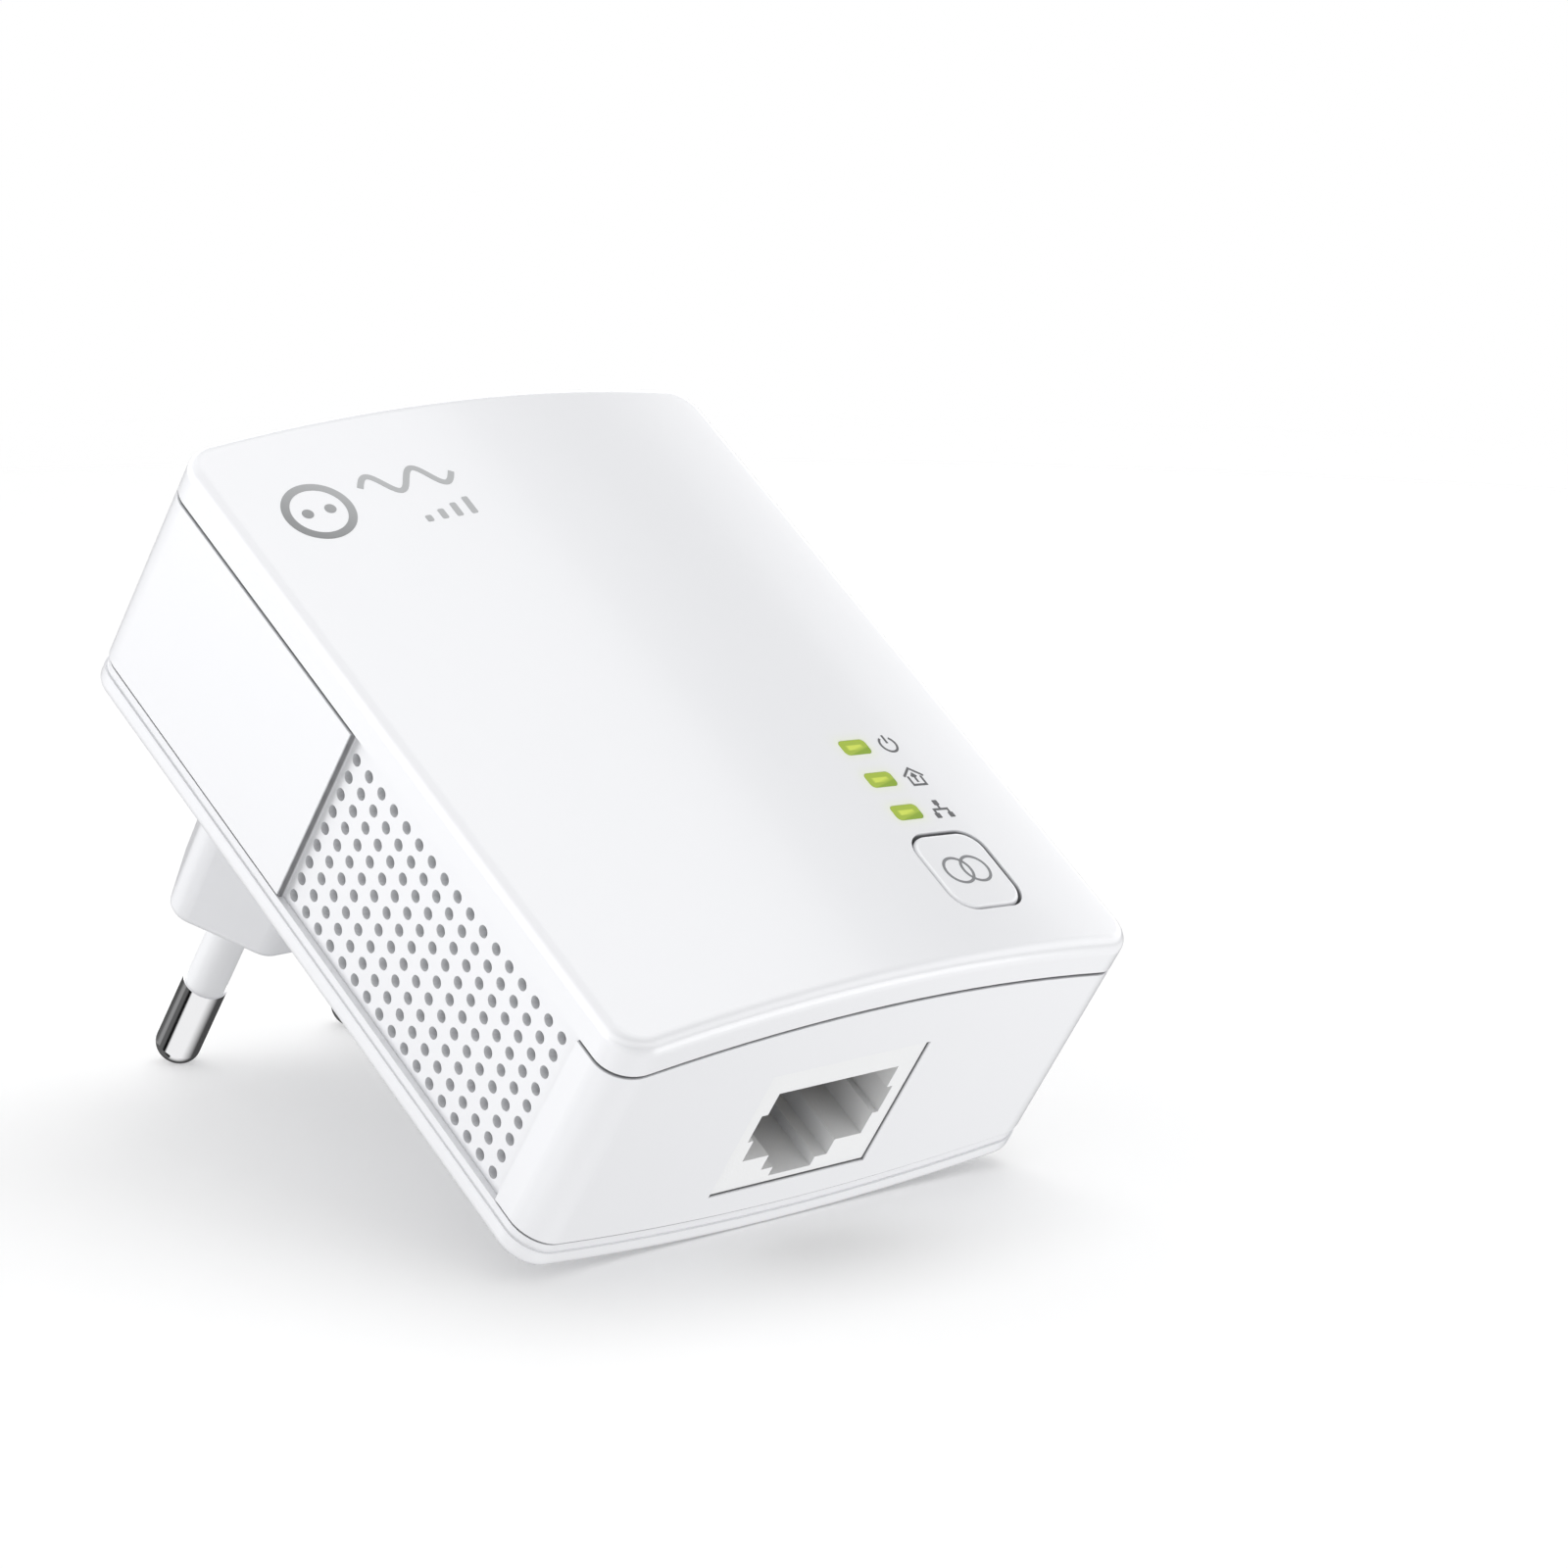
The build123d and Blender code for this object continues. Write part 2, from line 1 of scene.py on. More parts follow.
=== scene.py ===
"""Looks of a plug-in powerline adapter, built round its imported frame.

Metres. +X right, +Y towards the plug, +Z up from the jack end. It leans back on its plug pins, so the
floor of the scene is turned to touch the pins and the lower back edge.
"""

import json
import math

import bmesh
import bpy
import numpy as np
from mathutils import Matrix, Vector


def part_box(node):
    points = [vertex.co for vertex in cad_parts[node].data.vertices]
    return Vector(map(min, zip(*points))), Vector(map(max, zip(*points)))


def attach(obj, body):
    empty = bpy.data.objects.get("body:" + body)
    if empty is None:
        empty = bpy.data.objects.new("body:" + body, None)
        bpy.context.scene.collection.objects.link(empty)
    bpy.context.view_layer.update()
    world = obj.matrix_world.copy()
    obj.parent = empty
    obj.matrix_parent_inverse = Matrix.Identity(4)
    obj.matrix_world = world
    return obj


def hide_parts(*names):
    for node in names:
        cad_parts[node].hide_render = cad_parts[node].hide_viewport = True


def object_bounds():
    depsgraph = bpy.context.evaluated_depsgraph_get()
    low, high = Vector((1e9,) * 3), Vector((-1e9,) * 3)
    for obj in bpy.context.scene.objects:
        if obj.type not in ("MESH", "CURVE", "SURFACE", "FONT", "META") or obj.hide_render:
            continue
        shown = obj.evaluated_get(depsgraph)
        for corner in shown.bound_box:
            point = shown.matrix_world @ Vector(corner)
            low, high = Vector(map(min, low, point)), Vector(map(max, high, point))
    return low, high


bl_info = {
    "name": "Powerline adapter looks",
    "version": (1, 0, 0),
    "blender": (4, 5, 0),
    "location": "3D View > Sidebar > Adapter",
    "description": "Finishes, printed signs, board parts and a stage for a plug-in powerline adapter",
    "category": "Object",
}

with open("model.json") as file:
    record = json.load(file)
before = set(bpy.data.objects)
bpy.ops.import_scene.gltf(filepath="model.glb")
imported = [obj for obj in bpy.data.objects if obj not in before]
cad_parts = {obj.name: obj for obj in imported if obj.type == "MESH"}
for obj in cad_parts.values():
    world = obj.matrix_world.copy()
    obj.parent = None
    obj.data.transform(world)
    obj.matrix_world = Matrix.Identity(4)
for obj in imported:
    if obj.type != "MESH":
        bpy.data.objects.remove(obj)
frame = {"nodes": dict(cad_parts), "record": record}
cad_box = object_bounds()
NODES = frame["nodes"]
SLOTS = {m["slot"]: m for m in frame["record"]["materials"]}
MM = 0.001


def slot_colour(slot):
    """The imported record's colour of a slot."""
    return tuple(SLOTS[slot]["base_color"])


# ---- Values a user would change ----------------------------------------------------------------------
def number_value(name, description, default, **limits):
    return bpy.props.FloatProperty(name=name, description=description, default=default, **limits)


def length_value(name, description, default, **limits):
    return number_value(name, description, default, unit="LENGTH", precision=6, **limits)


def colour_value(name, description, default):
    return bpy.props.FloatVectorProperty(
        name=name, description=description, default=default, subtype="COLOR", size=3, min=0, max=1
    )


def vector_value(name, description, default, subtype="TRANSLATION"):
    return bpy.props.FloatVectorProperty(
        name=name, description=description, default=default, subtype=subtype, size=len(default)
    )


class AdapterFinish(bpy.types.PropertyGroup):
    """Colours and surface of the moulded shell and of what is lit"""

    shell: colour_value("Shell", "Colour of the moulded shell", (0.80, 0.805, 0.825))
    shell_roughness: number_value("Shell roughness", "Roughness of the moulded shell", 0.31, min=0, max=1)
    orange_peel: length_value("Orange peel", "Depth of the waves in the gloss", 0.003 * MM, min=0)
    lamp: colour_value("Lamp", "Colour of the lit windows", (0.52, 0.59, 0.06))
    lamp_strength: number_value("Lamp strength", "Brightness of the lit windows", 0.57, min=0)
    halo_reach: length_value(
        "Halo reach", "How far light spreads into the shell round a window", 0.40 * MM, min=0
    )
    halo_strength: number_value("Halo strength", "Brightness of the shell next to a window", 0.04, min=0)


class AdapterPrint(bpy.types.PropertyGroup):
    """Sizes and colour of the printed signs"""

    ink: colour_value("Ink", "Colour of the small signs", (0.085, 0.087, 0.092))
    emblem_ink: colour_value("Emblem ink", "Colour of the emblem", (0.19, 0.195, 0.20))
    face_bulge: length_value("Face bulge", "How far the front bows out at its middle", 2.5 * MM)
    lift: length_value("Lift", "How far the ink stands above the face", 0.018 * MM)
    sign_across: length_value("Signs across", "Where the status signs are, from the centre line", 16.0 * MM)
    sign_size: length_value("Sign size", "Width of a status sign", 2.1 * MM)
    stroke: length_value("Stroke", "Width of the lines of a status sign", 0.22 * MM)
    emblem: vector_value(
        "Emblem place", "Across and up of the middle of the emblem's ring", (-19.2 * MM, 58.0 * MM)
    )


class AdapterBoards(bpy.types.PropertyGroup):
    """Sizes of the small repeated parts on the boards"""

    wire: length_value("Wire", "Thickness of the choke's wire", 0.7 * MM)
    turns: bpy.props.IntProperty(
        name="Turns", description="Turns in each of the choke's coils", default=9, min=2
    )
    solder: length_value("Solder joint", "Width of a solder joint", 1.5 * MM)
    lead_pitch: length_value("Lead pitch", "Spacing of the leads of a chip", 0.8 * MM)
    seed: bpy.props.IntProperty(name="Seed", description="Fixes where the small chip parts lie", default=4)


class AdapterStage(bpy.types.PropertyGroup):
    """Camera, floor and light"""

    camera_place: vector_value("Camera place", "Where the camera stands", (-0.2812, -0.2927, -0.1912))
    camera_right: vector_value("Camera right", "The camera's own X", (0.7508, -0.3764, -0.5428), "XYZ")
    camera_up: vector_value("Camera up", "The camera's own Y", (0.1395, -0.7128, 0.6873), "XYZ")
    lens: number_value("Lens", "Focal length in millimetres on a 36 mm sensor", 128.5, min=1)
    floor_size: length_value("Floor size", "Width of the floor", 6.0)
    sky: number_value("Sky", "Strength of the light from all round", 0.97)
    key: number_value("Key", "Power of the large light above, in watts", 1.0)
    side: number_value("Side", "Power of the light on the left, in watts", 1.45)
    low: number_value("Low", "Power of the light low on the right, in watts", 0.27)


GROUPS = {
    "adapter_finish": AdapterFinish,
    "adapter_print": AdapterPrint,
    "adapter_boards": AdapterBoards,
    "adapter_stage": AdapterStage,
}


# ---- Node helpers ------------------------------------------------------------------------------------
def put(tree, kind, values=None, **settings):
    """Adds a node. Values are socket values or links, by socket name or number."""
    node = tree.nodes.new(kind)
    for key, value in settings.items():
        setattr(node, key, value)
    for key, value in (values or {}).items():
        socket = node.inputs[key]
        if isinstance(value, bpy.types.NodeSocket):
            tree.links.new(value, socket)
        else:
            socket.default_value = value
    return node


def made(tree, kind, values=None, **settings):
    """Adds a node and gives its first output."""
    return put(tree, kind, values, **settings).outputs[0]


def math_node(tree, operation, *values):
    return made(tree, "ShaderNodeMath", dict(enumerate(values)), operation=operation)


def arithmetic(operation):
    """A function that adds a math node of one kind."""
    return lambda tree, *values: math_node(tree, operation, *values)


multiply, add, subtract, divide = map(arithmetic, ("MULTIPLY", "ADD", "SUBTRACT", "DIVIDE"))
larger, smaller, absolute, greater = map(arithmetic, ("MAXIMUM", "MINIMUM", "ABSOLUTE", "GREATER_THAN"))


def separate(tree, vector):
    return put(tree, "ShaderNodeSeparateXYZ", {0: vector}).outputs


def hypotenuse(tree, values):
    return math_node(tree, "SQRT", add(tree, *(multiply(tree, value, value) for value in values)))


def mix_numbers(tree, share, one, other):
    return made(tree, "ShaderNodeMix", {0: share, 2: one, 3: other}, data_type="FLOAT")


def mix_colours(tree, share, one, other, blend="MIX"):
    values = {0: share, 6: one, 7: other}
    return put(tree, "ShaderNodeMix", values, data_type="RGBA", blend_type=blend).outputs[2]


def noise(tree, place, scale, detail=2.0, roughness=0.5):
    values = {"Vector": place, "Scale": scale, "Detail": detail, "Roughness": roughness}
    return put(tree, "ShaderNodeTexNoise", values).outputs["Fac"]


def remap(tree, value, low, high, to_low=0.0, to_high=1.0):
    values = {"Value": value, "From Min": low, "From Max": high, "To Min": to_low, "To Max": to_high}
    return put(tree, "ShaderNodeMapRange", values, clamp=True).outputs["Result"]


def effect(name, inputs, outputs):
    """Starts a shader node group. Gives the tree, its input sockets by name and its output node."""
    tree = bpy.data.node_groups.new(name, "ShaderNodeTree")
    for label, kind, value in inputs:
        socket = tree.interface.new_socket(label, in_out="INPUT", socket_type=kind)
        if value is not None:
            socket.default_value = value
    for label, kind in outputs:
        tree.interface.new_socket(label, in_out="OUTPUT", socket_type=kind)
    start, end = tree.nodes.new("NodeGroupInput"), tree.nodes.new("NodeGroupOutput")
    return tree, start.outputs, end.inputs


def use(tree, name, values):
    """Places a shared effect in a material."""
    return put(tree, "ShaderNodeGroup", values, node_tree=EFFECTS[name]()).outputs


FLOAT, COLOUR, VECTOR = "NodeSocketFloat", "NodeSocketColor", "NodeSocketVector"


def once(build):
    """Keeps what a function made, so that it is made once."""
    kept = []

    def get():
        if not kept:
            kept.append(build())
        return kept[0]

    return get


# ---- Effects that several materials share ------------------------------------------------------------
def make_colour_drift():
    """Slow changes of tone, as in a moulding or a coating."""
    tree, start, end = effect(
        "colour_drift",
        [("Vector", VECTOR, None), ("Colour", COLOUR, None), ("Amount", FLOAT, 0.1), ("Scale", FLOAT, 60.0)],
        [("Colour", COLOUR)],
    )
    broad = noise(tree, start["Vector"], start["Scale"], 3.0, 0.55)
    fine = noise(tree, start["Vector"], multiply(tree, start["Scale"], 14.0), 2.0)
    both = add(tree, multiply(tree, broad, 0.7), multiply(tree, fine, 0.3))
    share = multiply(tree, remap(tree, both, 0.3, 0.7), start["Amount"])
    darker = mix_colours(tree, 1.0, start["Colour"], (0.62, 0.64, 0.68, 1.0), "MULTIPLY")
    tree.links.new(mix_colours(tree, share, start["Colour"], darker), end["Colour"])
    return tree


def make_handled():
    """Roughness with faint smears and rubbed patches."""
    tree, start, end = effect(
        "handled",
        [("Vector", VECTOR, None), ("Roughness", FLOAT, 0.4), ("Amount", FLOAT, 0.1), ("Scale", FLOAT, 90.0)],
        [("Roughness", FLOAT)],
    )
    stretched = put(tree, "ShaderNodeMapping", {"Vector": start["Vector"], "Scale": (1.0, 0.6, 0.35)})
    smear = noise(tree, stretched.outputs[0], start["Scale"], 4.0, 0.6)
    change = multiply(tree, remap(tree, smear, 0.35, 0.7, -0.5, 0.5), start["Amount"])
    tree.links.new(add(tree, start["Roughness"], change), end["Roughness"])
    return tree


def make_mould_grain():
    """Height of a moulded face: the waves of a gloss face and the pits of a spark-eroded one."""
    tree, start, end = effect(
        "mould_grain",
        [("Vector", VECTOR, None), ("Waves", FLOAT, 400.0), ("Pits", FLOAT, 3500.0), ("Pitted", FLOAT, 0.3)],
        [("Height", FLOAT)],
    )
    waves = noise(tree, start["Vector"], start["Waves"], 1.0)
    pits = put(
        tree, "ShaderNodeTexVoronoi", {"Vector": start["Vector"], "Scale": start["Pits"]}, feature="SMOOTH_F1"
    ).outputs["Distance"]
    tree.links.new(mix_numbers(tree, start["Pitted"], waves, pits), end["Height"])
    return tree


def make_drawn_lines():
    """Fine lines along one axis, as on drawn, turned or ground metal."""
    tree, start, end = effect(
        "drawn_lines",
        [("Vector", VECTOR, None), ("Stretch", VECTOR, (60.0, 1.0, 60.0)), ("Scale", FLOAT, 90.0),
         ("Roughness", FLOAT, 0.2), ("Amount", FLOAT, 0.1)],
        [("Roughness", FLOAT), ("Height", FLOAT)],
    )
    place = made(tree, "ShaderNodeMapping", {"Vector": start["Vector"], "Scale": start["Stretch"]})
    lines = noise(tree, place, start["Scale"], 3.0, 0.6)
    change = multiply(tree, remap(tree, lines, 0.3, 0.7, -0.5, 0.5), start["Amount"])
    tree.links.new(add(tree, start["Roughness"], change), end["Roughness"])
    tree.links.new(lines, end["Height"])
    return tree


EFFECTS = {
    "colour_drift": once(make_colour_drift),
    "handled": once(make_handled),
    "mould_grain": once(make_mould_grain),
    "drawn_lines": once(make_drawn_lines),
}


# ---- Materials ---------------------------------------------------------------------------------------
def start_material(name, **constants):
    """A material with its Principled shader. Constants are set on the shader's own sockets."""
    material = bpy.data.materials.new(name)
    material.use_nodes = True
    tree = material.node_tree
    tree.nodes.clear()
    shader = put(tree, "ShaderNodeBsdfPrincipled")
    for key, value in constants.items():
        shader.inputs[key.replace("_", " ")].default_value = value
    put(tree, "ShaderNodeOutputMaterial", {"Surface": shader.outputs[0]})
    place = put(tree, "ShaderNodeTexCoord").outputs["Object"]
    return material, tree, shader.inputs, place


def bump(tree, height, depth, strength=1.0):
    values = {"Height": height, "Distance": depth, "Strength": strength}
    return put(tree, "ShaderNodeBump", values).outputs["Normal"]


def rgba(colour):
    return (*colour[:3], 1.0)


def drifting(tree, place, colour, amount, scale):
    """A colour whose tone drifts a little."""
    values = {"Vector": place, "Colour": rgba(colour), "Amount": amount, "Scale": scale}
    return use(tree, "colour_drift", values)["Colour"]


def smear(tree, shader, place, roughness, amount, scale):
    """Gives a shader a roughness with faint smears."""
    values = {"Vector": place, "Roughness": roughness, "Amount": amount, "Scale": scale}
    tree.links.new(use(tree, "handled", values)["Roughness"], shader["Roughness"])


def insides(material):
    """A material's tree, its shader's sockets, its place in the shared frame and its base colour."""
    tree = material.node_tree
    nodes = {node.type: node for node in tree.nodes}
    shader = nodes["BSDF_PRINCIPLED"].inputs
    return tree, shader, nodes["TEX_COORD"].outputs["Object"], shader["Base Color"].links[0].from_socket


def moulded(name, colour, roughness, drift=0.05, waves=420.0, pits=3200.0, pitted=0.25, depth=0.02 * MM,
            smears=0.08, **constants):
    """Moulded plastic, rubber, coating or ceramic, from gloss to matt."""
    material, tree, shader, place = start_material(name, **constants)
    tree.links.new(drifting(tree, place, colour, drift, 55.0), shader["Base Color"])
    smear(tree, shader, place, roughness, smears, 90.0)
    grain = use(tree, "mould_grain", {"Vector": place, "Waves": waves, "Pits": pits, "Pitted": pitted})
    tree.links.new(bump(tree, grain["Height"], depth), shader["Normal"])
    return material


def metal(name, colour, roughness, stretch=(60.0, 1.0, 60.0), scale=60.0, amount=0.1, depth=0.004 * MM,
          tarnish=0.1, **constants):
    """Plated, drawn, pressed or extruded metal."""
    material, tree, shader, place = start_material(name, Metallic=1.0, **constants)
    tree.links.new(drifting(tree, place, colour, tarnish, 120.0), shader["Base Color"])
    lines = use(
        tree, "drawn_lines",
        {"Vector": place, "Stretch": stretch, "Scale": scale, "Roughness": roughness, "Amount": amount},
    )
    tree.links.new(lines["Roughness"], shader["Roughness"])
    tree.links.new(bump(tree, lines["Height"], depth), shader["Normal"])
    return material


LAMPS = ("power_lens", "home_lens", "network_lens")
CORNER = 3.0 * MM  # radius of the shell's corners, seen from the front
LENS_FLANGE = 0.5 * MM  # how far a window's flange reaches past what shows of it
LID_THICKNESS = 1.2 * MM  # how far behind the face the light of the windows reaches


def lamp_layout():
    """Middle of the three windows, their spacing and half size, all from the frame."""
    boxes = [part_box(name) for name in LAMPS]
    middles = [(low + high) / 2 for low, high in boxes]
    low, high = boxes[1]
    half_width, half_height = (high.x - low.x) / 2 - LENS_FLANGE, (high.z - low.z) / 2 - LENS_FLANGE
    return middles[1], middles[0].z - middles[1].z, half_width, half_height


def near_lamp(tree, place):
    """Distance outside the nearest window, and the place inside it as shares of its half size."""
    middle, pitch, half_width, half_height = lamp_layout()
    x, _, z = separate(tree, place)
    across = subtract(tree, x, middle.x)
    up = subtract(tree, z, middle.z)
    row = math_node(tree, "ROUND", divide(tree, up, pitch))
    row = larger(tree, smaller(tree, row, 1.0), -1.0)
    up = subtract(tree, up, multiply(tree, row, pitch))
    out = []
    for value, half in ((across, half_width), (up, half_height)):
        beyond = subtract(tree, absolute(tree, value), half)
        out.append(larger(tree, beyond, 0.0))
    shares = divide(tree, across, half_width), divide(tree, up, half_height)
    return hypotenuse(tree, out), shares


SHADE = (0.05, 0.05, 0.055, 1.0)  # colour that the painted shade in seams and gaps goes towards


def between(tree, value, start, full, last, end):
    """Rises from nothing at start to one at full, and falls from last to nothing at end."""
    return multiply(tree, remap(tree, value, start, full), remap(tree, value, end, last))


def outline_depth(tree, place):
    """How far a place is inside the shell's outline, seen from the front."""
    low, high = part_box("main_housing")
    x, _, z = separate(tree, place)
    past = []
    for value, start, end in ((x, low.x, high.x), (z, low.z, high.z)):
        off = absolute(tree, subtract(tree, value, (start + end) / 2))
        past.append(subtract(tree, off, (end - start) / 2 - CORNER))
    round_part = hypotenuse(tree, [larger(tree, value, 0.0) for value in past])
    straight_part = smaller(tree, larger(tree, *past), 0.0)
    return subtract(tree, CORNER, add(tree, round_part, straight_part))


def face_bow(bulge):
    """Y of the front on the centre line, and the radius that it bows with."""
    low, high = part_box("front_cover")
    half = (high.x - low.x) / 2
    return low.y, (half**2 + bulge**2) / (2 * bulge)


def face_y(across, bulge):
    """Y of the bowed front at a distance from the centre line."""
    front, radius = face_bow(bulge)
    return front + radius - math.sqrt(radius**2 - across**2)


def face_depth(tree, place, bulge):
    """How far a place is behind the bowed front."""
    front, radius = face_bow(bulge)
    x, y, _ = separate(tree, place)
    square = subtract(tree, radius**2, multiply(tree, x, x))
    face = subtract(tree, front + radius, math_node(tree, "SQRT", square))
    return subtract(tree, y, face)


def shell_material(name, finish):
    """Gloss white moulding."""
    return moulded(
        name, finish.shell, finish.shell_roughness, drift=0.02, waves=900.0, pits=4200.0, pitted=0.3,
        depth=finish.orange_peel, smears=0.04, IOR=1.5, Coat_Weight=0.35, Coat_Roughness=0.12,
    )


def housing_material(finish):
    """The shell's finish, with painted shade in the two seams, the grilles' steps and the jack's gap."""
    material = shell_material("housing_gloss", finish)
    tree, shader, place, tone = insides(material)
    # painted shade: the base colour is darkened towards SHADE down in the seams, steps and gap
    seam_shade = between(tree, outline_depth(tree, place), 0.06 * MM, 0.2 * MM, 0.6 * MM, 0.8 * MM)
    tone = mix_colours(tree, multiply(tree, seam_shade, 0.8), tone, SHADE)
    tree.links.new(tone, shader["Base Color"])
    return material


def cover_material(finish, settings):
    """The shell's finish, with painted shade in the gaps round the button and windows, and a painted glow
    where the light of the windows spreads into it."""
    material = shell_material("cover_gloss", finish)
    tree, shader, place, tone = insides(material)
    away = remap(tree, outline_depth(tree, place), 1.5 * MM, 2.0 * MM)
    behind = face_depth(tree, place, settings.face_bulge)
    # painted shade: the base colour is darkened in the gaps round the button and windows
    gap = multiply(tree, away, remap(tree, behind, 0.08 * MM, 0.3 * MM))
    distance, _ = near_lamp(tree, place)
    fade = math_node(tree, "EXPONENT", divide(tree, distance, -finish.halo_reach))
    # painted glow: next to a window the shell's colour is tinted green and given emission, for the windows'
    # light
    mask = multiply(tree, fade, remap(tree, behind, LID_THICKNESS, LID_THICKNESS - 0.3 * MM))
    tone = mix_colours(tree, multiply(tree, mask, 0.85), tone, (0.68, 0.80, 0.20, 1.0))
    tone = mix_colours(tree, multiply(tree, gap, 0.75), tone, SHADE)
    tree.links.new(tone, shader["Base Color"])
    glow = mix_colours(tree, mask, (0.0, 0.0, 0.0, 1.0), rgba(finish.lamp))
    tree.links.new(glow, shader["Emission Color"])
    shader["Emission Strength"].default_value = finish.halo_strength
    return material


def jack_material():
    """Matt grey moulding, with painted shade that deepens from its mouth inwards."""
    material = moulded("jack_matt", (0.80, 0.805, 0.81), 0.46, drift=0.06, waves=1200.0, pits=5200.0,
                       pitted=0.6, depth=0.02 * MM, smears=0.12)
    tree, shader, place, tone = insides(material)
    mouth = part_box("jack_housing")[0].z
    # painted shade: the base colour darkens from the mouth inwards, where the jack's inside lies in shade
    inside = remap(tree, separate(tree, place)[2], mouth + 0.2 * MM, mouth + 5.0 * MM)
    tree.links.new(mix_colours(tree, inside, tone, (0.42, 0.425, 0.44, 1.0)), shader["Base Color"])
    return material


def lens_material(finish):
    """Clear window lit from behind, with a darker rim towards its lower right."""
    material, tree, shader, place = start_material(
        "lit_window", Roughness=0.18, IOR=1.49, Coat_Weight=0.3, Emission_Strength=finish.lamp_strength,
    )
    _, (across, up) = near_lamp(tree, place)
    edge = larger(tree, absolute(tree, across), absolute(tree, up))
    rim = remap(tree, edge, 0.72, 1.0)
    shade = remap(tree, subtract(tree, across, up), 0.2, 1.9)
    dark = larger(tree, multiply(tree, rim, 0.55), multiply(tree, shade, 0.8))
    cloudy = noise(tree, place, 900.0, 2.0)
    yellower = remap(tree, cloudy, 0.3, 0.7, 0.0, 0.25)
    base = mix_colours(tree, yellower, rgba(finish.lamp), (0.66, 0.74, 0.18, 1.0))
    lit = mix_colours(tree, dark, base, (0.14, 0.24, 0.015, 1.0))
    tree.links.new(lit, shader["Emission Color"])
    body = mix_colours(tree, dark, (0.33, 0.39, 0.07, 1.0), (0.10, 0.19, 0.02, 1.0))
    tree.links.new(body, shader["Base Color"])
    return material


def board_material(colour):
    """Solder mask over copper, with tracks, filled areas and vias."""
    material, tree, shader, place = start_material("board_mask", IOR=1.5, Coat_Weight=0.25)
    turn = (math.radians(90.0), 0.0, 0.0)
    flat = made(tree, "ShaderNodeMapping", {"Vector": place, "Rotation": turn})
    tracks = put(
        tree, "ShaderNodeTexBrick",
        {"Vector": flat, "Scale": 130.0, "Mortar Size": 0.035, "Mortar Smooth": 0.1, "Brick Width": 0.9,
         "Row Height": 0.22},
    ).outputs["Fac"]
    fill = remap(tree, noise(tree, flat, 70.0, 0.0), 0.5, 0.51)
    copper = larger(tree, tracks, multiply(tree, fill, 0.75))
    cells = put(tree, "ShaderNodeTexVoronoi", {"Vector": flat, "Scale": 320.0}, voronoi_dimensions="2D")
    vias = remap(tree, cells.outputs["Distance"], 0.13, 0.11)
    chosen = made(tree, "ShaderNodeSeparateColor", {"Color": cells.outputs["Color"]})
    vias = multiply(tree, vias, greater(tree, chosen, 0.72))
    lighter = tuple(min(1.0, c * 2.1 + 0.01) for c in colour[:3])
    tone = mix_colours(tree, copper, rgba(colour), rgba(lighter))
    tone = mix_colours(tree, vias, tone, (0.62, 0.58, 0.46, 1.0))
    tree.links.new(tone, shader["Base Color"])
    smear(tree, shader, place, 0.34, 0.1, 120.0)
    tree.links.new(vias, shader["Metallic"])
    height = add(tree, multiply(tree, copper, 0.6), multiply(tree, vias, 0.5))
    tree.links.new(bump(tree, height, 0.035 * MM), shader["Normal"])
    return material


def ink_material(name, colour, fade=0.0):
    """Printed ink: thin, slightly matt, a little uneven. Fade lightens it towards its upper right."""
    material, tree, shader, place = start_material(name, IOR=1.45)
    tone = drifting(tree, place, colour, 0.18, 900.0)
    if fade:
        x, _, z = separate(tree, place)
        share = remap(tree, add(tree, x, z), 33.0 * MM, 45.0 * MM, 0.0, fade)
        tone = mix_colours(tree, share, tone, (0.62, 0.63, 0.64, 1.0))
    tree.links.new(tone, shader["Base Color"])
    smear(tree, shader, place, 0.42, 0.12, 500.0)
    grain = use(tree, "mould_grain", {"Vector": place, "Waves": 2500.0, "Pits": 9000.0, "Pitted": 0.5})
    tree.links.new(bump(tree, grain["Height"], 0.003 * MM), shader["Normal"])
    return material


def striped_can_material(colour):
    """Shrink sleeve of an electrolytic can, with its pale stripe."""
    material = moulded("can_sleeve_film", colour, 0.28, drift=0.15, waves=900.0, depth=0.02 * MM)
    tree, shader, place, tone = insides(material)
    low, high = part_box("bulk_capacitor")
    x, _, z = separate(tree, place)
    stripe_middle = (low.z + high.z) / 2 + 2.0 * MM
    stripe = remap(tree, absolute(tree, subtract(tree, z, stripe_middle)), 1.15 * MM, 1.05 * MM)
    stripe = multiply(tree, stripe, math_node(tree, "LESS_THAN", x, high.x))
    tree.links.new(mix_colours(tree, stripe, tone, (0.55, 0.56, 0.58, 1.0)), shader["Base Color"])
    return material


def wound_material(colour):
    """Taped coil: overlapping turns of polyester tape."""
    material, tree, shader, place = start_material("wound_tape", IOR=1.55, Coat_Weight=0.4)
    laps = put(tree, "ShaderNodeTexWave", {"Vector": place, "Scale": 140.0, "Distortion": 0.6, "Detail": 1.0},
               bands_direction="Z", wave_profile="SAW").outputs["Fac"]
    tone = drifting(tree, place, colour, 0.25, 200.0)
    darker = mix_colours(tree, remap(tree, laps, 0.8, 1.0, 0.0, 0.5), tone, (0.45, 0.32, 0.04, 1.0))
    tree.links.new(darker, shader["Base Color"])
    smear(tree, shader, place, 0.3, 0.15, 300.0)
    tree.links.new(bump(tree, laps, 0.06 * MM), shader["Normal"])
    return material


